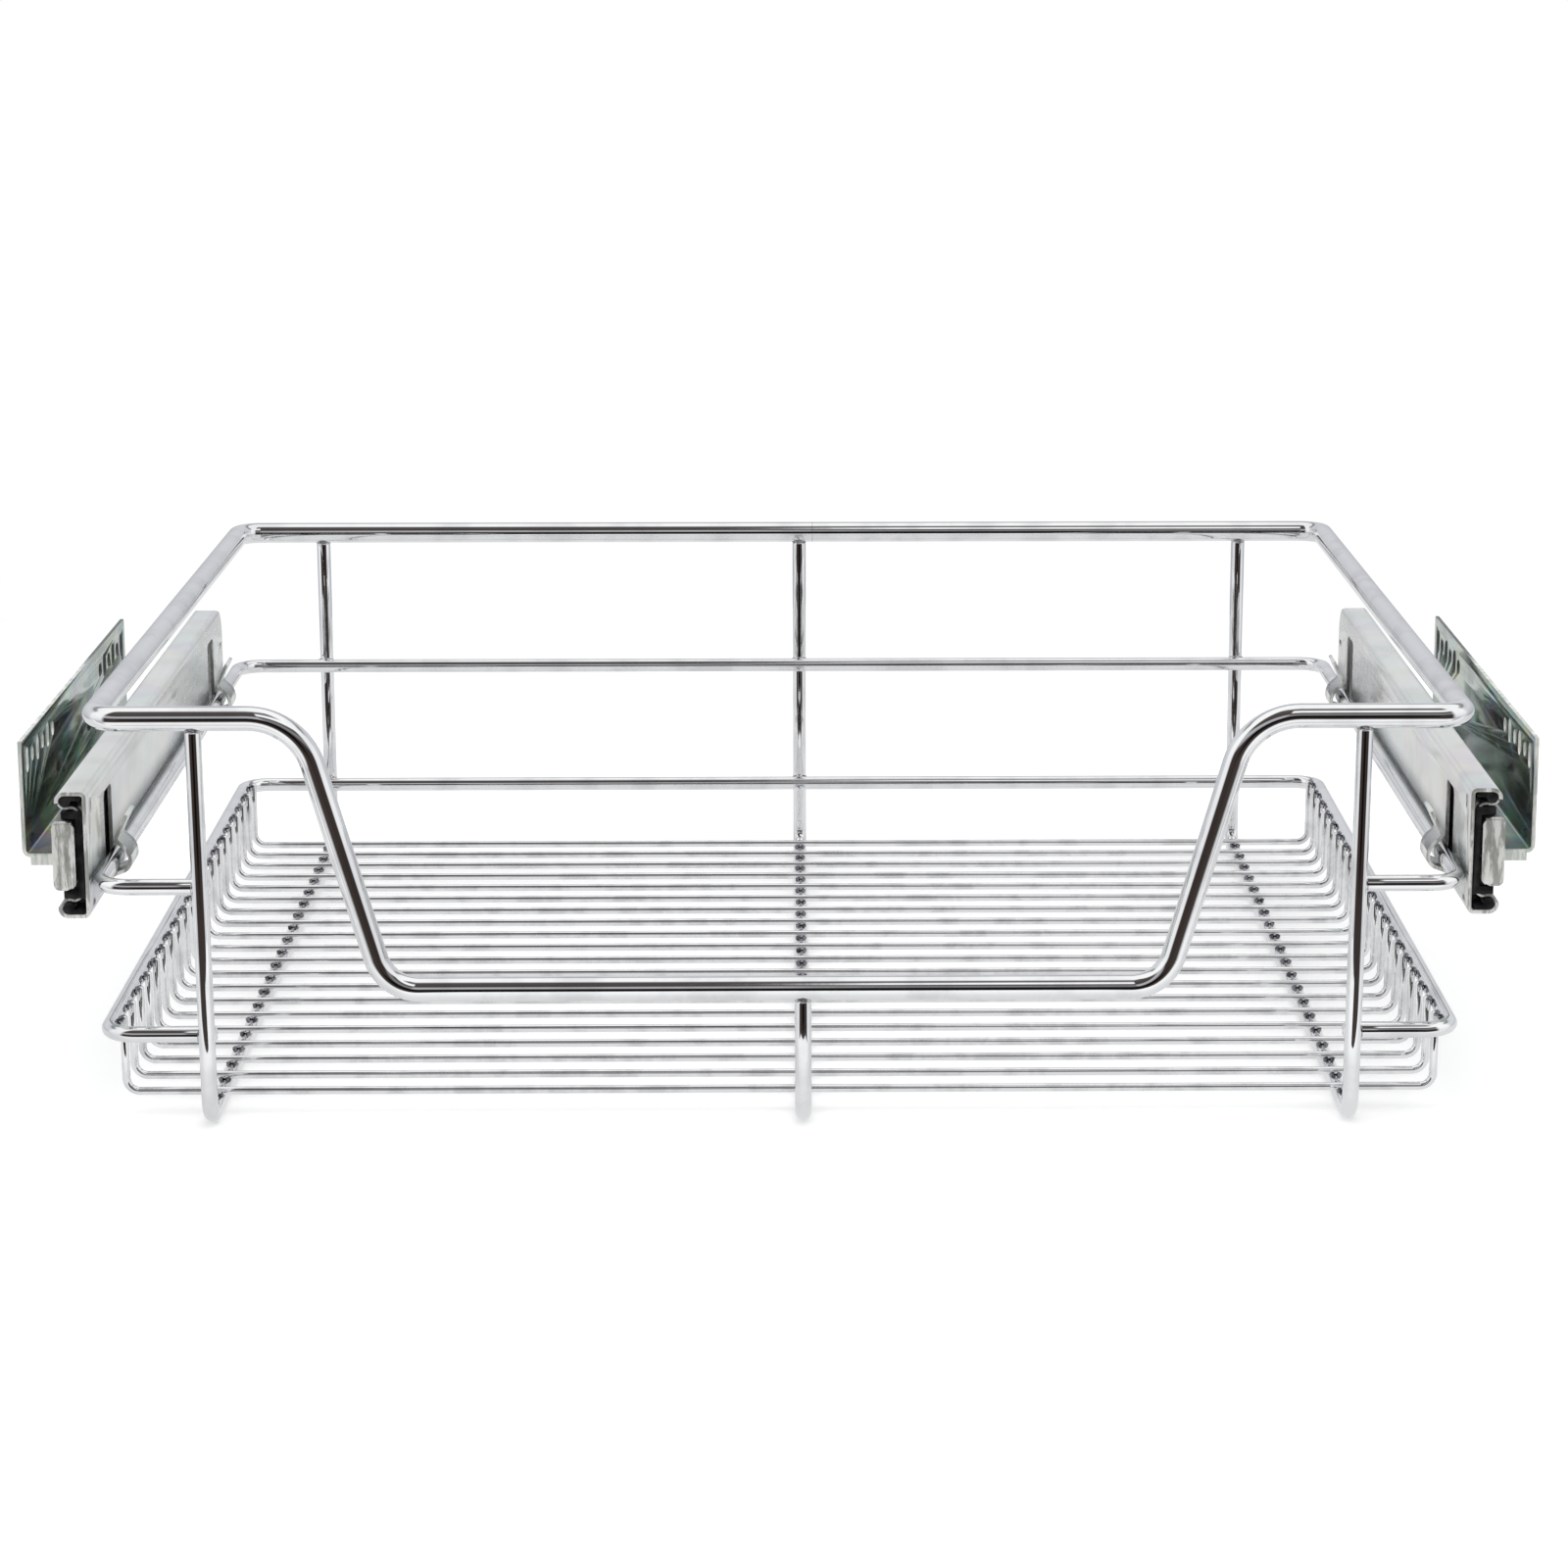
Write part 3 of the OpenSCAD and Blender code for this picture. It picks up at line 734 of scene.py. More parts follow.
class Finishes:
    """Every material of the basket, built once."""

    def __init__(self) -> None:
        """Builds the shared effects and each finish."""
        effects = Effects()
        self.chrome = ChromeFinish("bright chrome").material(effects)
        self.fine_chrome = ChromeFinish(
            "fine wire chrome", dull=(0.74, 0.745, 0.75), polish=(0.03, 0.12), mark_scale=85.0,
        ).material(effects)
        self.weld = ChromeFinish(
            "chromed weld", bright=(0.60, 0.60, 0.62), dull=(0.20, 0.20, 0.21),
            polish=(0.10, 0.28), mark_scale=420.0, wave_depth=0.3 * MM,
        ).material(effects)
        self.spot = ChromeFinish(
            "spot weld", bright=(0.30, 0.30, 0.33), dull=(0.05, 0.05, 0.06),
            polish=(0.12, 0.3), mark_scale=520.0, wave_depth=0.4 * MM,
        ).material(effects)
        self.ball = ChromeFinish(
            "bearing steel", bright=(0.80, 0.805, 0.81), dull=(0.66, 0.665, 0.67),
            polish=(0.05, 0.12), mark_scale=400.0,
        ).material(effects)
        # The channel carries a painted shade line just above the welded middle rail.
        self.channel = ZincFinish(
            "pale zinc", base=(1.0, 1.0, 0.99), bloom=0.16, bloom_scale=13.0,
            polish=(0.14, 0.28), metal=0.45, grease=(90.5 * MM, 101 * MM),
        ).material(effects)
        # Painted shade: the intermediate and cabinet members are the same zinc as the channel, with
        # their base darkened to 0.34 for the shade inside the runner.
        self.inner = ZincFinish(
            "inner zinc", base=(0.34, 0.35, 0.34), bloom=0.15, bloom_scale=18.0,
            polish=(0.22, 0.38), metal=0.8,
        ).material(effects)
        self.bracket = ZincFinish(
            "passivated zinc", base=(0.76, 0.80, 0.75), bloom=0.72, bloom_scale=24.0,
            polish=(0.06, 0.16), metal=0.92, rim=(0.90, 0.95, 0.92), bare=0.74, grain=0.03,
        ).material(effects)
        self.rivet = ZincFinish(
            "rivet zinc", base=(0.66, 0.67, 0.66), bloom=0.2, bloom_scale=60.0,
            polish=(0.2, 0.34),
        ).material(effects)
        self.cut = CutEdgeFinish(
            "cut edge", pale=(0.80, 0.80, 0.77), shade=(0.36, 0.36, 0.34),
        ).material(effects)
        # The bracket's edges and hole walls turn to painted shade between Y = -20 mm and Y = 10 mm, and
        # stay dark behind that.
        self.bracket_cut = CutEdgeFinish(
            "bracket edge", pale=(0.90, 0.89, 0.84), shade=(0.60, 0.64, 0.60),
            dim=(-20 * MM, 10 * MM),
        ).material(effects)
        self.plastic = PlasticFinish("black plastic").material(effects)


# ---------------------------------------------------------------- round wire
@dataclass
class RoundWire:
    """A round wire bent along corners.

    Attributes:
        corners: The points of its centre line, in metres.
        radii: Bend radius at each point; the ends' values aren't used.
        diameter: Thickness of the wire.
        sides: Number of facets round it.
        ring: True for a wire whose ends meet.
        end_round: Round of the cut ends, as a share of the diameter.
        step: Turn of each facet along a bend, in degrees.
    """

    corners: list[Vector]
    radii: list[float]
    diameter: float
    sides: int = 32
    ring: bool = False
    end_round: float = 0.22
    step: float = 7.0

    def sweep(self, name: str) -> Piece:
        """Extrudes the wire's section along the straights and spins it round the bends.

        Args:
            name: Name of the wire.

        Returns:
            The finished mesh object.
        """
        heading = (self.corners[1] - self.corners[0]).normalized()
        deselect()
        bpy.ops.mesh.primitive_circle_add(
            vertices=self.sides, radius=self.diameter / 2, fill_type="NOTHING",
            location=self.corners[0], rotation=heading.to_track_quat("Z", "X").to_euler(),
        )
        wire = named(name)
        settle(wire)
        open_edit(wire)
        here = self.corners[0]
        for i in range(1, len(self.corners) - 1):
            here = self._bend(here, i)
        self._straight(self.corners[-1] - here)
        bpy.ops.mesh.select_all(action="SELECT")
        if self.ring:
            bpy.ops.mesh.remove_doubles(threshold=0.02 * MM)
        else:
            bpy.ops.mesh.fill_holes(sides=0)
            bpy.ops.mesh.select_all(action="SELECT")
        bpy.ops.mesh.normals_make_consistent(inside=False)
        close_edit()
        if not self.ring:
            break_edges(wire, self.end_round * self.diameter, degrees=60.0, segments=3)
        smooth(wire, 40.0)
        return wire

    def _straight(self, run: Vector) -> None:
        """Extrudes the selected section along a straight run."""
        bpy.ops.mesh.extrude_region_move(TRANSFORM_OT_translate={"value": run})

    def _bend(self, here: Vector, i: int) -> Vector:
        """Runs up to corner i and spins the section round it.

        Args:
            here: Where the section stands.
            i: Number of the corner.

        Returns:
            Where the section stands after the bend.
        """
        corner, radius = self.corners[i], self.radii[i]
        before = (corner - self.corners[i - 1]).normalized()
        after = (self.corners[i + 1] - corner).normalized()
        turn = before.angle(after)
        reach = radius * math.tan(turn / 2)
        centre = corner + (after - before).normalized() * (radius / math.cos(turn / 2))
        axis = before.cross(after).normalized()
        steps = max(4, math.ceil(math.degrees(turn) / self.step))
        self._straight(corner - before * reach - here)
        bpy.ops.mesh.spin(steps=steps, dupli=False, angle=turn, center=centre, axis=-axis)
        return corner + after * reach


@dataclass(frozen=True)
class WeldBead:
    """One flattened, slightly lumpy bead of weld.

    Attributes:
        name: Name of the bead.
        size: Its extent along X, Y and Z, in millimetres.
        seed: Which lumps it has.
        lumps: Height of the lumps as a share of its least extent.
    """

    name: str
    size: tuple[float, float, float]
    seed: int = 3
    lumps: float = 0.12

    def model(self) -> Piece:
        """Shapes the bead at the origin.

        Returns:
            The bead.
        """
        deselect()
        bpy.ops.mesh.primitive_ico_sphere_add(subdivisions=2, radius=0.5, location=(0.0, 0.0, 0.0))
        bead = named(self.name)
        size = Vector(self.size) * MM
        open_edit(bead)
        bpy.ops.transform.resize(value=size)
        bpy.ops.transform.vertex_random(
            offset=self.lumps * min(size), uniform=0.6, normal=0.6, seed=self.seed
        )
        bpy.ops.mesh.vertices_smooth(factor=0.4, repeat=1)
        close_edit()
        smooth(bead, 80.0)
        return bead


# ---------------------------------------------------------------- the basket
def half_turn(i: int) -> Matrix:
    """Turns every second bead of a row round, so that neighbours differ."""
    return Matrix.Rotation(math.pi * (i % 2), 4, "Z")


@dataclass
class Basket:
    """The welded wire basket.

    Attributes:
        finishes: The materials.
        rail_d: Diameter of the top rail.
        wire_d: Diameter of the rails below it and of the uprights.
        cross_d: Diameter of the cross wires.
        rail_bend: Bend radius of the top rail's corners.
        wire_bend: Bend radius of the lower rails' corners.
        foot_bend: Bend radius of the uprights under the floor.
        cross_bend: Bend radius of the cross wires.
        dip_top_bend: Bend radius where the dip leaves the top rail.
        dip_bottom_bend: Bend radius at the bottom of the dip.
        dip_top: Half the width of the dip at the top.
        dip_bottom: Half its width at the bottom.
        dip_shift: Place of its middle across the basket.
        rear_drop: How much lower the top rail is behind.
        cross_count: Number of cross wires.
        crossing_bead: Weld beside a cross wire on an upright's base run.
        crossing_reach: Distance of that weld from the run's middle.
        crossing_sink: How far its middle lies below the run's top.
        tip_bead: Weld between a cross wire's tip and the lower rail.
        tip_inset: How far its middle is in from the rail and below the tip.
        collar_bead: Weld round an upright's end under the top rail.
        cheek_bead: Weld beside an upright on a lower rail.
        cheek_turn: How far that weld is turned towards the upright.
        cheek_reach: Its distance from the upright's middle, in front and
            behind, as a share of the wire's diameter.
        seam_x: Place of the top rail's butt weld.
        seam_width: Its width.
        seam_rise: About how far its middle stands out past its sides.
        sink: How far the collars' middle and the seam's sides lie inside the top rail.
        places: Boxes of the wires' nodes.
    """

    finishes: Finishes
    rail_d: float = 9 * MM
    wire_d: float = 6 * MM
    cross_d: float = 3 * MM
    rail_bend: float = 10 * MM
    wire_bend: float = 11 * MM
    foot_bend: float = 8 * MM
    cross_bend: float = 5 * MM
    dip_top_bend: float = 24 * MM
    dip_bottom_bend: float = 16 * MM
    dip_top: float = 170 * MM
    dip_bottom: float = 141 * MM
    dip_shift: float = -2 * MM
    rear_drop: float = 3 * MM
    cross_count: int = 20
    crossing_bead: WeldBead = WeldBead("crossing weld", (2.2, 4.9, 2.0), lumps=0.2)
    crossing_reach: float = 1.3 * MM
    crossing_sink: float = 0.1 * MM
    tip_bead: WeldBead = WeldBead("tip weld", (3.4, 4.2, 2.9), seed=8)
    tip_inset: float = 1.1 * MM
    collar_bead: WeldBead = WeldBead("collar weld", (7.0, 7.0, 2.6), seed=5, lumps=0.2)
    cheek_bead: WeldBead = WeldBead("cheek weld", (2.4, 3.0, 6.6), seed=6, lumps=0.16)
    cheek_turn: float = 0.35
    cheek_reach: Span = (0.45, 0.42)
    seam_x: float = 14 * MM
    seam_width: float = 1.0 * MM
    seam_rise: float = 0.28 * MM
    sink: float = 0.2 * MM
    places: dict[str, tuple[Vector, Vector]] = field(init=False)

    def __post_init__(self) -> None:
        """Reads the boxes of the wires from the frame, and the middle lines of the top rail."""
        self.places = {name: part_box(name) for name in ("top_rail", *RAILS, *UPRIGHTS, "cross_wires")}
        low, high = self.places["top_rail"]
        self.rail_x = high.x - self.rail_d / 2 - SWELL
        self.front_y = low.y + self.rail_d / 2 + SWELL
        self.rear_y = high.y - self.rail_d / 2 - SWELL
        self.top_z = high.z - self.rail_d / 2 - SWELL
        self.dip_z = low.z + self.rail_d / 2 + SWELL
        self.rear_z = self.top_z - self.rear_drop

    def build(self) -> None:
        """Builds every wire and weld of the basket."""
        self.top_rail()
        for name in RAILS:
            self.open_rail(name)
        for name in UPRIGHTS:
            self.upright(name)
        self.cross_wires()
        self.floor_welds()
        self.rail_welds()
        self.seam()

    def _swept(self, wire: RoundWire, node: str) -> None:
        """Sweeps a thick wire and lets it stand for its node."""
        finished(wire.sweep(f"{node}_wire"), "basket", "chromed_wire", self.finishes.chrome, node)

    def top_rail(self) -> None:
        """The top rail, a closed ring with the dip in front."""
        left, right = self.dip_shift - self.dip_top, self.dip_shift + self.dip_top
        low_left, low_right = self.dip_shift - self.dip_bottom, self.dip_shift + self.dip_bottom
        front = [
            (-self.rail_x, self.top_z), (left, self.top_z), (low_left, self.dip_z),
            (low_right, self.dip_z), (right, self.top_z), (self.rail_x, self.top_z),
        ]
        rear_left, rear_middle, rear_right = (
            Vector((x, self.rear_y, self.rear_z)) for x in (-self.rail_x, 0, self.rail_x)
        )
        corners = [rear_middle, rear_left]
        corners += [Vector((x, self.front_y, z)) for x, z in front]
        corners += [rear_right, rear_middle]
        c, t, b = self.rail_bend, self.dip_top_bend, self.dip_bottom_bend
        radii = [0, c, c, t, b, b, t, c, c, 0]
        self._swept(RoundWire(corners, radii, self.rail_d, sides=48, ring=True, step=5.0), "top_rail")

    def open_rail(self, node: str) -> None:
        """A rail round the back and sides, with its ends behind the outer uprights.

        Args:
            node: middle_rail or lower_rail.
        """
        low, high = self.places[node]
        r = self.wire_d / 2
        side, z = high.x - r - SWELL, (low.z + high.z) / 2
        front, rear = low.y + r + SWELL, high.y - r - SWELL
        stub = self.upright_x("right_upright", z) - r
        route = (
            (-stub, front), (-side, front), (-side, rear), (side, rear), (side, front), (stub, front),
        )
        corners = [Vector((x, y, z)) for x, y in route]
        c = self.wire_bend
        self._swept(RoundWire(corners, [0, c, c, c, c, 0], self.wire_d), node)

    def foot_x(self, node: str) -> float:
        """Where an upright's foot stands across the basket.

        Args:
            node: The upright's node.

        Returns:
            The place of its middle.
        """
        low, high = self.places[node]
        r = self.wire_d / 2 + SWELL
        outer = {"left_upright": high.x - r, "right_upright": low.x + r}
        return outer.get(node, (low.x + high.x) / 2)

    def upright_x(self, node: str, z: float) -> float:
        """Where an upright's front leg stands at a height; the outer ones lean out.

        Args:
            node: The upright's node.
            z: The height.

        Returns:
            The place across the basket.
        """
        low, high = self.places[node]
        lean = (high.x - low.x) - self.wire_d - SWELL
        way = {"left_upright": -1, "right_upright": 1}.get(node, 0)
        return self.foot_x(node) + way * lean * z / self.top_z

    def front_end(self, node: str) -> Vector:
        """Where an upright ends in front, under the top rail.

        Args:
            node: The upright's node.

        Returns:
            The middle of its end.
        """
        z = (self.dip_z if node == "centre_upright" else self.top_z) - self.rail_d / 2
        return Vector((self.upright_x(node, z), self.front_y, z))

    def rear_end(self, node: str) -> Vector:
        """Where an upright ends behind, under the top rail."""
        return Vector((self.foot_x(node), self.rear_y, self.rear_z - self.rail_d / 2))

    def upright(self, node: str) -> None:
        """An upright bent to a U under the floor.

        Args:
            node: The upright's node.
        """
        x, r = self.foot_x(node), self.wire_d / 2
        corners = [
            self.front_end(node), Vector((x, self.front_y, r)),
            Vector((x, self.rear_y, r)), self.rear_end(node),
        ]
        radii = [0, self.foot_bend, self.foot_bend, 0]
        self._swept(RoundWire(corners, radii, self.wire_d, end_round=0.12), node)

    def _cross_rows(self) -> list[float]:
        """Places of the cross wires from front to rear.

        Returns:
            The Y of each.
        """
        low, high = self.places["cross_wires"]
        first, last = low.y + self.cross_d / 2, high.y - self.cross_d / 2
        gaps = self.cross_count - 1
        return [first + (last - first) * i / gaps for i in range(self.cross_count)]

    def cross_wires(self) -> None:
        """The floor's cross wires, bent up inside the lower rail."""
        low, high = self.places["cross_wires"]
        r = self.cross_d / 2
        side, floor, tip = high.x - r - SWELL, low.z + r + SWELL, high.z
        rows = self._cross_rows()
        route = ((-side, tip), (-side, floor), (side, floor), (side, tip))
        corners = [Vector((x, rows[0], z)) for x, z in route]
        radii = [0, self.cross_bend, self.cross_bend, 0]
        wire = RoundWire(corners, radii, self.cross_d, sides=20, end_round=0.3, step=12.0)
        places = [Matrix.Translation((0, y - rows[0], 0)) for y in rows]
        whole = joined("cross_wires_row", copies(wire.sweep("cross_wire"), places))
        finished(whole, "basket", "chromed_fine_wire", self.finishes.fine_chrome, "cross_wires")

    def floor_welds(self) -> None:
        """The welds of the cross wires on the uprights' base runs and inside the lower rail."""
        rows = self._cross_rows()
        crossing_z = self.wire_d - self.crossing_sink
        on_runs = [
            Matrix.Translation((self.foot_x(name) + way * self.crossing_reach, y, crossing_z))
            @ half_turn(i)
            for name in UPRIGHTS
            for i, y in enumerate(rows)
            for way in (-1, 1)
        ]
        tip_x = self.places["lower_rail"][1].x - self.wire_d - self.tip_inset
        tip_z = self.places["cross_wires"][1].z - self.tip_inset
        at_tips = [
            Matrix.Translation((side.value * tip_x, y, tip_z)) @ half_turn(i)
            for side in Side
            for i, y in enumerate(rows)
        ]
        beads = copies(self.crossing_bead.model(), on_runs)
        beads += copies(self.tip_bead.model(), at_tips)
        finished(joined("floor_weld_beads", beads), "basket", "chromed_fine_wire", self.finishes.spot)

    def rail_welds(self) -> None:
        """The welds between the uprights and the rails."""
        lift = Vector((0, 0, self.sink))
        under_rail = [
            Matrix.Translation(end + lift)
            for node in UPRIGHTS
            for end in (self.front_end(node), self.rear_end(node))
        ]
        beads = copies(self.collar_bead.model(), under_rail)
        beads += copies(self.cheek_bead.model(), self._cheek_places())
        finished(joined("rail_weld_beads", beads), "basket", "chromed_wire", self.finishes.weld)

    def _cheek_places(self) -> list[Matrix]:
        """Places of the welds beside the uprights on the middle and lower rail.

        Returns:
            Both sides of each upright behind, and the outer sides in front.
        """
        rear_y, front_y = self.rear_y - self.wire_d / 2, self.front_y + self.wire_d / 2
        front_reach, rear_reach = (share * self.wire_d for share in self.cheek_reach)
        spots = []
        for rail in RAILS:
            low, high = self.places[rail]
            z = (low.z + high.z) / 2
            for node in UPRIGHTS:
                spots += [(self.foot_x(node) + way * rear_reach, rear_y, z, way) for way in (-1, 1)]
            for side in Side:
                x = self.upright_x(f"{side.word}_upright", z) + side.value * front_reach
                spots.append((x, front_y, z, side.value))
        return [
            Matrix.Translation((x, y, z)) @ Matrix.Rotation(way * self.cheek_turn, 4, "Z")
            for x, y, z, way in spots
        ]

    def seam(self) -> None:
        """The ground butt weld that closes the top rail behind."""
        middle = (self.seam_x, self.rear_y, self.rear_z)
        radius = self.rail_d / 2
        deselect()
        bpy.ops.mesh.primitive_cylinder_add(
            vertices=48, radius=radius - self.sink, depth=self.seam_width,
            location=middle, rotation=(0, math.pi / 2, 0),
        )
        seam = named("top_rail_seam")
        settle(seam)
        open_edit(seam, "FACE")
        bpy.ops.mesh.subdivide(number_cuts=1)
        bpy.ops.mesh.select_all(action="DESELECT")
        close_edit()
        for vertex in seam.data.vertices:
            vertex.select = abs(vertex.co.x - self.seam_x) < self.seam_width / 10
        open_edit_kept(seam)
        lift = 1.0 + self.seam_rise / radius
        bpy.ops.transform.resize(value=(1.0, lift, lift), center_override=middle)
        close_edit()
        smooth(seam, 60.0)
        finished(seam, "basket", "chromed_wire", self.finishes.weld)


# ---------------------------------------------------------------- the runners
@dataclass
class Runner:
    """One telescopic runner with its cabinet bracket.

    Attributes:
        side: Which side it stands on.
        finishes: The materials.
        edge: Width of the broken edges of the sheets.
        rivet_edge: Width of the rounds on the rivet heads.
        plate_depth: Depth of the bracket's upright plate, from its outer face.
        foot_height: Height of the bracket's folded foot, which keeps the main finish.
        merge: Vertices of a solid that are closer than this are one.
        flat: Turn in degrees below which faces are one.
        end_normal: A face whose normal has more Y than this is a sheared end.
        wall_normal: A face of the plate whose normal has less X than this is
            its edge or the wall of a hole.
    """

    side: Side
    finishes: Finishes
    edge: float = 0.16 * MM
    rivet_edge: float = 0.55 * MM
    plate_depth: float = 2 * MM
    foot_height: float = 8 * MM
    merge: float = 0.004 * MM
    flat: float = 0.6
    end_normal: float = 0.7
    wall_normal: float = 0.4

    def build(self) -> None:
        """Dresses every piece of the runner and the bracket."""
        word, f = self.side.word, self.finishes
        sheets = (
            ("basket_channel", "basket", "zinc_channel", f.channel, self.edge),
            ("intermediate_member", f"{word}_intermediate", "zinc_inner", f.inner, self.edge),
            ("cabinet_member", "cabinet_side", "zinc_inner", f.inner, self.edge),
            ("bracket", "cabinet_side", "passivated_zinc", f.bracket, self.edge),
            ("bracket_rivets", "cabinet_side", "rivet_steel", f.rivet, self.rivet_edge),
            ("front_guide", f"{word}_intermediate", "black_plastic", f.plastic, self.edge),
            ("front_bumpers", "basket", "black_plastic", f.plastic, self.edge),
        )
        for node, body, slot, material, edge in sheets:
            self.dressed(f"{word}_{node}", body, slot, material, edge)
        for row in ("outer", "inner"):
            self.carried(f"{word}_{row}_cage", f.plastic)
            self.carried(f"{word}_{row}_balls", f.ball)

    def carried(self, node: str, material: Material) -> None:
        """Keeps a node as it is and gives it a finish.

        Args:
            node: The CAD node.
            material: Its finish.
        """
        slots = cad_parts[node].data.materials
        slots.clear()
        slots.append(material)
        log.info("%s: carried over", node)

    def dressed(self, node: str, body: str, slot: str, material: Material, edge: float) -> None:
        """Copies a node's solid, clears its spare edges and breaks its sharp ones.

        Args:
            node: The CAD node.
            body: Its body.
            slot: Its material slot.
            material: Its finish.
            edge: Width of the broken edges.
        """
        piece = bpy.data.objects.new(f"{node}_dressed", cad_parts[node].data.copy())
        bpy.context.scene.collection.objects.link(piece)
        only(piece)
        bpy.ops.mesh.customdata_custom_splitnormals_clear()
        open_edit(piece)
        bpy.ops.mesh.remove_doubles(threshold=self.merge)
        bpy.ops.mesh.dissolve_limited(
            angle_limit=math.radians(self.flat), use_dissolve_boundaries=False
        )
        close_edit()
        break_edges(piece, edge)
        smooth(piece, 30.0)
        finished(piece, body, slot, material, node)
        self.cut_edges(piece, node)

    def cut_edges(self, piece: Piece, node: str) -> None:
        """Gives the sheared ends of a sheet, and the walls of its holes, a pale finish.

        Args:
            piece: The dressed piece.
            node: The CAD node that it stands for.
        """
        plate = node.endswith("bracket")
        if not plate and not node.endswith(("channel", "member")):
            return
        # The bracket's edge finish turns to painted shade on the walls and edges behind.
        piece.data.materials.append(self.finishes.bracket_cut if plate else self.finishes.cut)
        low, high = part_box(node)
        plate_x = max(abs(low.x), abs(high.x)) - self.plate_depth
        foot_z = low.z + self.foot_height
        for polygon in piece.data.polygons:
            normal, centre = polygon.normal, polygon.center
            end_face = abs(normal.y) > self.end_normal
            in_plate = plate and abs(centre.x) > plate_x and centre.z > foot_z
            if end_face or (in_plate and abs(normal.x) < self.wall_normal):
                polygon.material_index = 1


# ---------------------------------------------------------------- the studio
@dataclass(frozen=True)
class SoftLamp:
    """A square lamp that looks at the basket and shows in no mirror.

    Attributes:
        name: Its name.
        place: Where it stands.
        size: Its width.
        power: Its power in watts.
        target: What it looks at.
    """

    name: str
    place: tuple[float, float, float]
    size: float
    power: float
    target: tuple[float, float, float] = (0.0, 0.0, 0.08)

    def build(self) -> None:
        """Places the lamp."""
        data = bpy.data.lights.new(self.name, "AREA")
        data.shape = "SQUARE"
        data.size = self.size
        data.energy = self.power
        lamp = bpy.data.objects.new(self.name, data)
        place = Vector(self.place)
        aim = (Vector(self.target) - place).to_track_quat("-Z", "Y")
        lamp.matrix_world = Matrix.Translation(place) @ aim.to_matrix().to_4x4()
        lamp.visible_glossy = False
        bpy.context.scene.collection.objects.link(lamp)


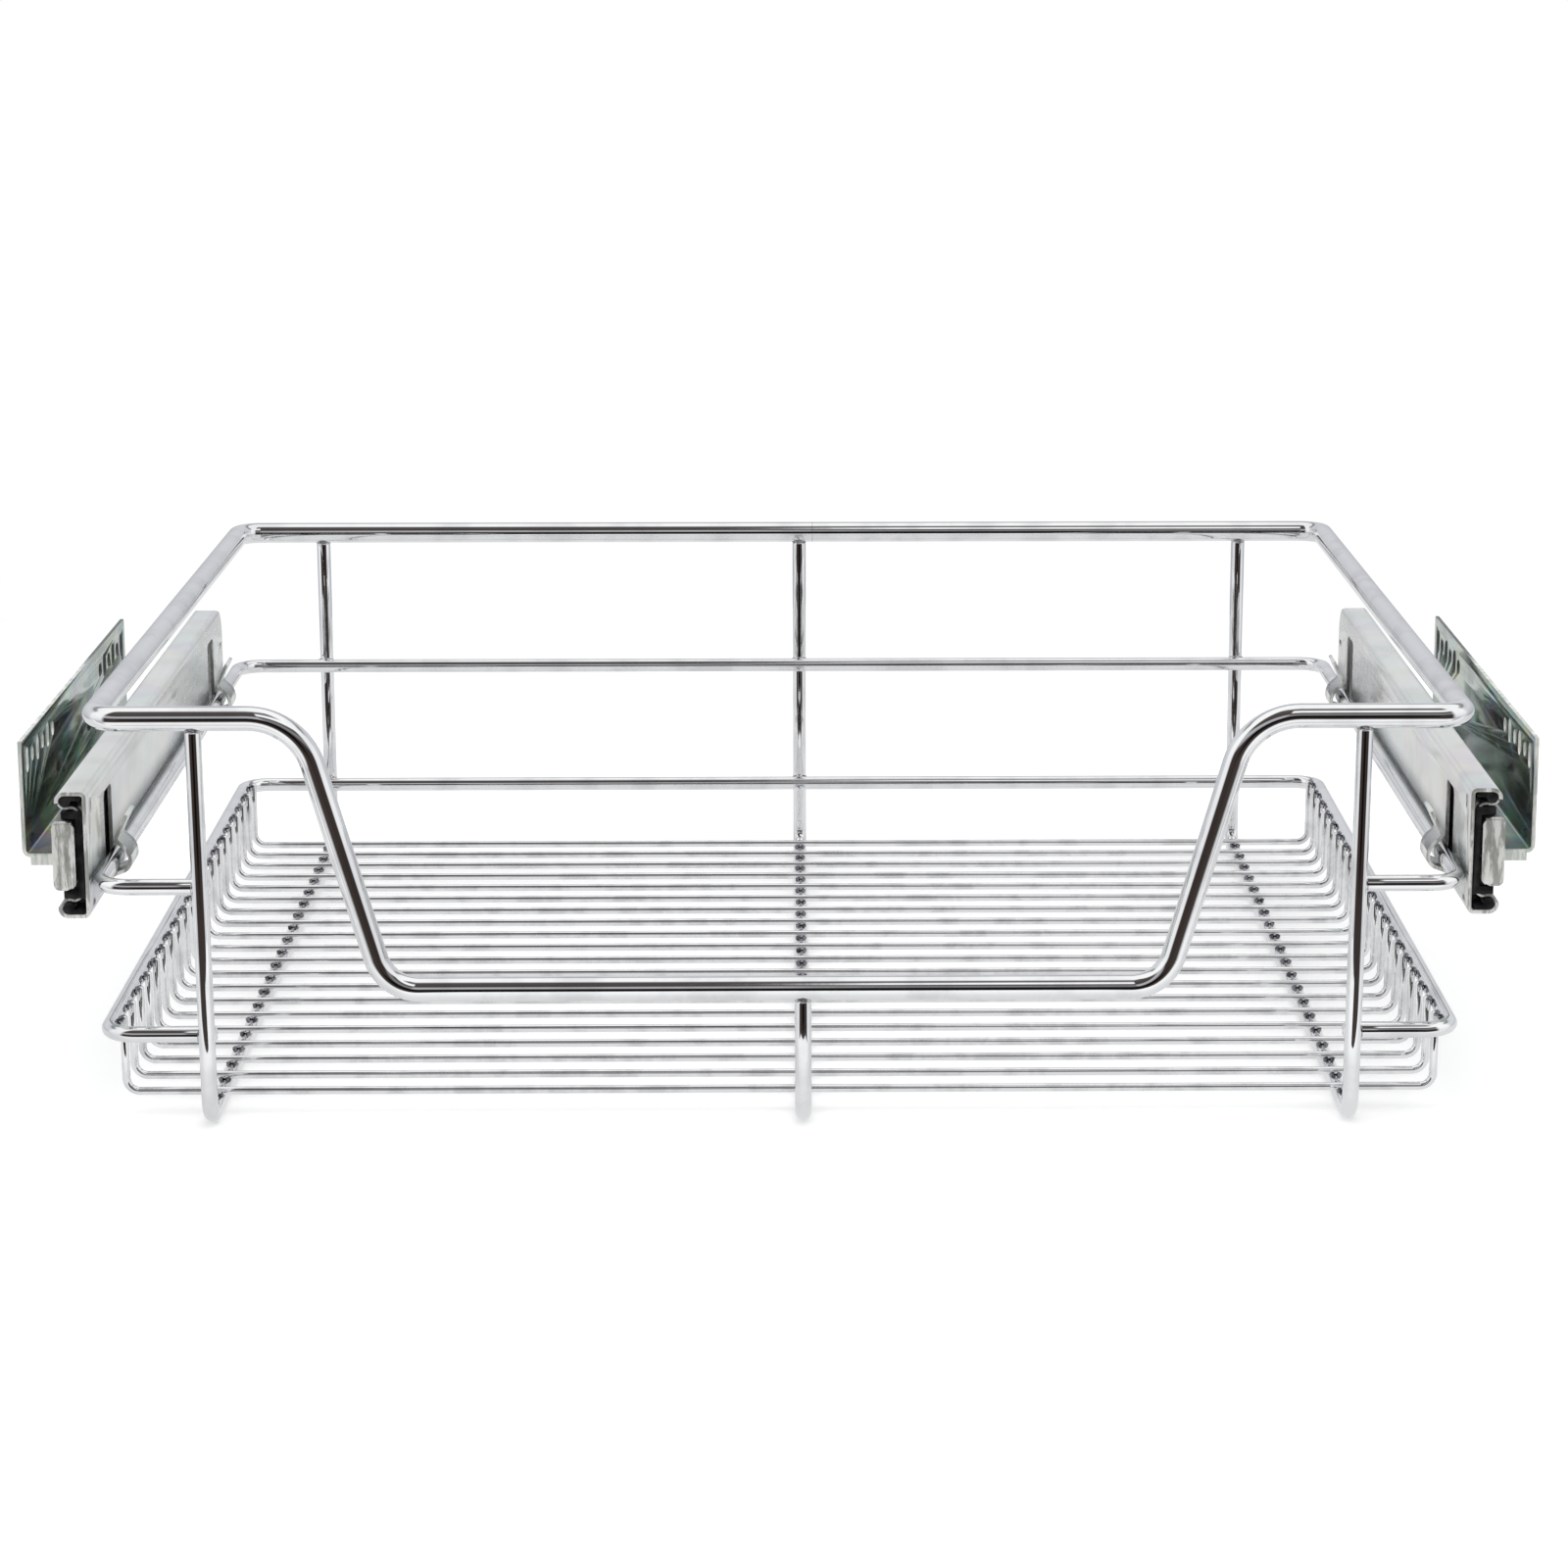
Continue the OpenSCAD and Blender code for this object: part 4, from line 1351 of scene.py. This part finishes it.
@dataclass(frozen=True)
class Room:
    """The room that only mirror finishes see, wired as the world.

    Its colours run from straight down at 0 over level at 0.5 to straight up
    at 1. Front is where the camera stands.

    Attributes:
        front_low: The front below the level and just above it.
        front_left: Its middle heights on the left.
        front_right: The same on the right, with a white band.
        front_high: The front near straight up.
        band_edge: X of the looks between which left turns to right.
        brown: The least light of the front away from its middle.
        brown_edge: X of the looks between which that comes in.
        back: The room behind the basket.
        side: The room beside it.
        side_edge: Facing at which the back turns to the side.
        front_edge: Facing at which the side turns to the front.
        matt_light: What matt surfaces get from all round.
    """

    front_low: Stops = (
        (0.00, (0.58, 0.59, 0.60)), (0.21, (0.62, 0.63, 0.64)), (0.28, (0.98, 0.98, 0.98)),
        (0.360, (0.95, 0.95, 0.95)), (0.395, (0.052, 0.043, 0.040)),
        (0.448, (0.046, 0.036, 0.033)), (0.475, (0.004, 0.003, 0.003)),
        (0.548, (0.004, 0.004, 0.004)),
    )
    front_left: Stops = (
        (0.590, (0.42, 0.42, 0.44)), (0.650, (0.46, 0.46, 0.48)),
        (0.690, (0.060, 0.050, 0.047)), (0.780, (0.075, 0.065, 0.062)),
    )
    front_right: Stops = (
        (0.595, (0.20, 0.20, 0.21)), (0.640, (0.24, 0.24, 0.25)),
        (0.675, (0.060, 0.050, 0.047)), (0.705, (0.09, 0.08, 0.078)), (0.735, WHITE),
        (0.800, WHITE), (0.835, (0.22, 0.21, 0.21)),
    )
    front_high: Stops = ((0.895, (0.10, 0.09, 0.088)), (0.945, (0.70, 0.71, 0.73)), (0.975, WHITE))
    band_edge: Span = (-0.012, 0.022)
    brown: Colour = (0.042, 0.032, 0.029)
    brown_edge: Span = (0.15, 0.25)
    back: Stops = (
        (0.0, (0.58, 0.59, 0.60)), (0.30, (0.40, 0.41, 0.43)), (0.43, (0.38, 0.39, 0.41)),
        (0.50, (0.56, 0.57, 0.60)), (0.62, (0.70, 0.71, 0.74)), (0.69, (0.62, 0.63, 0.66)),
        (0.71, (0.28, 0.28, 0.29)), (0.745, (0.32, 0.32, 0.33)), (0.77, (0.92, 0.93, 0.95)),
        (0.83, WHITE), (1.0, WHITE),
    )
    side: Stops = (
        (0.0, (0.58, 0.59, 0.60)), (0.30, (0.60, 0.61, 0.63)), (0.40, (0.50, 0.51, 0.53)),
        (0.50, (0.85, 0.86, 0.88)), (0.62, WHITE), (1.0, WHITE),
    )
    side_edge: Span = (-0.35, 0.05)
    front_edge: Span = (0.52, 0.72)
    matt_light: Colour = (0.80, 0.805, 0.81)

    def build(self) -> None:
        """Wires the world: white to the camera, soft to matt surfaces, this room to mirrors."""
        world = bpy.data.worlds.new("studio")
        bpy.context.scene.world = world
        world.use_nodes = True
        world.node_tree.nodes.clear()
        hand = Shader(world.node_tree)
        look = hand.node("ShaderNodeTexCoord").outputs["Generated"]
        x, y, z = hand.node("ShaderNodeSeparateXYZ", {0: look}).outputs
        rise = hand.math("ADD", hand.math("DIVIDE", hand.math("ARCSINE", z), math.pi), 0.5)
        facing = self._facing(hand, y, z)
        around = hand.mix(
            hand.span(facing, self.side_edge), hand.ramp(rise, self.back), hand.ramp(rise, self.side)
        )
        room = hand.mix(hand.span(facing, self.front_edge), around, self._front(hand, x, rise))
        path = hand.node("ShaderNodeLightPath").outputs
        soft = hand.mix(path["Is Glossy Ray"], self.matt_light, room)
        seen = hand.mix(path["Is Camera Ray"], soft, WHITE)
        background = hand.node("ShaderNodeBackground", {"Color": seen, "Strength": 1.0})
        hand.node("ShaderNodeOutputWorld", {"Surface": background.outputs[0]})

    def _facing(self, hand: Shader, y: Socket, z: Socket) -> Socket:
        """How far a look goes to the front, whatever its height.

        Args:
            hand: The world's shader hand.
            y: The look's Y.
            z: The look's Z.

        Returns:
            1 straight to the front, -1 straight to the back.
        """
        level = hand.math("SQRT", hand.math("SUBTRACT", 1.0, hand.math("MULTIPLY", z, z), clamp=True))
        never_zero = hand.math("MAXIMUM", level, 0.02)
        return hand.math("DIVIDE", hand.math("MULTIPLY", y, -1.0), never_zero)

    def _front(self, hand: Shader, x: Socket, rise: Socket) -> Socket:
        """The front of the room, with its white band on the right.

        Args:
            hand: The world's shader hand.
            x: The look's X.
            rise: Its height, from 0 to 1.

        Returns:
            The colour.
        """
        left, right = (
            hand.ramp(rise, self.front_low + middle + self.front_high)
            for middle in (self.front_left, self.front_right)
        )
        both = hand.mix(hand.span(x, self.band_edge), left, right)
        off_middle = hand.span(hand.math("ABSOLUTE", x), self.brown_edge)
        return hand.mix(1.0, both, hand.mix(off_middle, BLACK, self.brown), "LIGHTEN")


@dataclass
class Studio:
    """Camera, floor, lamps and the table top that the chrome mirrors.

    Attributes:
        lens: Focal length on a 36 mm sensor.
        place: Where the camera stands, in millimetres.
        pitch: How far it looks down, in radians.
        yaw: How far it looks to the right.
        roll: Its turn about the view.
        shift: The frame's shift.
        floor_size: Width of the floor.
        floor_drop: How far it lies below the basket.
        paper: Brightness of its matt surface.
        floor_lift: Glow that brings the lit floor just to white.
        floor_fade: Distances from the middle between which it turns plain white.
        table_size: Width and depth of the mirrored table top and the Y of its middle.
        table_drop: How far it lies below the basket.
        table_tint: Its colour.
        glow: Its brightness in front and behind.
        glow_edge: Y between which that changes.
        table_front: Y of its front edge in the middle and at the sides.
        table_corner: Distances from the middle between which that changes.
        lamps: The lamps.
    """

    lens: float = 93.698
    place: tuple[float, float, float] = (3.09, -1629.05, 462.37)
    pitch: float = 0.2308
    yaw: float = 0.0166
    roll: float = 0.0009
    shift: Span = (-0.04524, 0.0003)
    floor_size: float = 6.0
    floor_drop: float = 0.1 * MM
    paper: float = 0.82
    floor_lift: float = 0.26
    floor_fade: Span = (0.45, 0.9)
    table_size: tuple[float, float, float] = (1.8, 1.4, 0.27)
    table_drop: float = 0.05 * MM
    table_tint: Colour = (0.985, 0.992, 1.0)
    glow: Span = (1.0, 0.76)
    glow_edge: Span = (-0.31, -0.20)
    table_front: Span = (-0.43, -0.30)
    table_corner: Span = (0.13, 0.17)
    lamps: tuple[SoftLamp, ...] = (
        SoftLamp("overhead", (0.2, -0.1, 1.9), 2.6, 18.0),
        SoftLamp("left", (-1.9, -0.7, 1.1), 1.6, 7.0),
    )

    def build(self) -> None:
        """Builds the studio."""
        self.camera()
        self.floor()
        self.table()
        for lamp in self.lamps:
            lamp.build()
        Room().build()
        bpy.context.scene.view_settings.view_transform = "Standard"

    def camera(self) -> None:
        """Sets the camera at the photograph's viewing angle."""
        data = bpy.data.cameras.new("camera")
        data.sensor_width = 36.0
        data.lens = self.lens
        data.shift_x, data.shift_y = self.shift
        data.clip_start, data.clip_end = 0.05, 30.0
        camera = bpy.data.objects.new("camera", data)
        pan = Matrix.Rotation(-self.yaw, 4, "Z")
        tilt = Matrix.Rotation(math.pi / 2 - self.pitch, 4, "X")
        stand = Matrix.Translation(Vector(self.place) * MM)
        camera.matrix_world = stand @ (pan @ tilt) @ Matrix.Rotation(self.roll, 4, "Z")
        bpy.context.scene.collection.objects.link(camera)
        bpy.context.scene.camera = camera

    def _plane(self, name: str, size: float, drop: float) -> Piece:
        """Lays a level plane under the basket.

        Args:
            name: Its name.
            size: Its width.
            drop: How far it lies below the basket.

        Returns:
            The plane.
        """
        deselect()
        bpy.ops.mesh.primitive_plane_add(size=size, location=(0.0, 0.0, CAD_BOX[0][2] - drop))
        plane = named(name)
        settle(plane)
        return plane

    def floor(self) -> None:
        """A pale sheet under the basket that keeps its shadow."""
        floor = self._plane("studio_floor", self.floor_size, self.floor_drop)
        material, hand = blank_material("studio floor")
        white = (*WHITE, 1.0)
        paper = hand.node("ShaderNodeBsdfDiffuse", {"Color": (self.paper, self.paper, self.paper, 1.0)})
        lift = hand.node("ShaderNodeEmission", {"Color": white, "Strength": self.floor_lift})
        lit = hand.node("ShaderNodeAddShader", {0: paper.outputs[0], 1: lift.outputs[0]})
        plain = hand.node("ShaderNodeEmission", {"Color": white, "Strength": 1.0})
        place = hand.node("ShaderNodeTexCoord").outputs["Object"]
        away = hand.node("ShaderNodeVectorMath", {0: place}, operation="LENGTH").outputs["Value"]
        fade = hand.span(away, self.floor_fade)
        shown = hand.node("ShaderNodeMixShader", {0: fade, 1: lit.outputs[0], 2: plain.outputs[0]})
        to_camera = hand.node("ShaderNodeLightPath").outputs["Is Camera Ray"]
        seen = hand.node(
            "ShaderNodeMixShader", {0: to_camera, 1: paper.outputs[0], 2: shown.outputs[0]}
        )
        hand.node("ShaderNodeOutputMaterial", {"Surface": seen.outputs[0]})
        floor.data.materials.append(material)
        floor.visible_glossy = False

    def table(self) -> None:
        """The pale table top that only mirror finishes see, open in front."""
        table = self._plane("studio_table", 1.0, self.table_drop)
        width, depth, middle = self.table_size
        open_edit(table)
        bpy.ops.transform.resize(value=(width, depth, 1.0))
        bpy.ops.transform.translate(value=(0.0, middle, 0.0))
        close_edit()
        material, hand = blank_material("studio table")
        place = hand.node("ShaderNodeTexCoord").outputs["Object"]
        x, y, _ = hand.node("ShaderNodeSeparateXYZ", {0: place}).outputs
        glow = hand.span(y, self.glow_edge, self.glow)
        top = hand.node("ShaderNodeEmission", {"Color": (*self.table_tint, 1.0), "Strength": glow})
        edge_y = hand.span(hand.math("ABSOLUTE", x), self.table_corner, self.table_front)
        before_edge = hand.math("LESS_THAN", y, edge_y)
        clear = hand.node("ShaderNodeBsdfTransparent")
        cut = hand.node("ShaderNodeMixShader", {0: before_edge, 1: top.outputs[0], 2: clear.outputs[0]})
        hand.node("ShaderNodeOutputMaterial", {"Surface": cut.outputs[0]})
        table.data.materials.append(material)
        table.visible_camera = table.visible_diffuse = table.visible_shadow = False


def main() -> None:
    """Builds the studio, the basket and both runners."""
    logging.basicConfig(level=logging.INFO, format="%(name)s: %(message)s")
    Studio().build()
    finishes = Finishes()
    Basket(finishes).build()
    for side in Side:
        Runner(side, finishes).build()


if __name__ == "__main__":
    main()
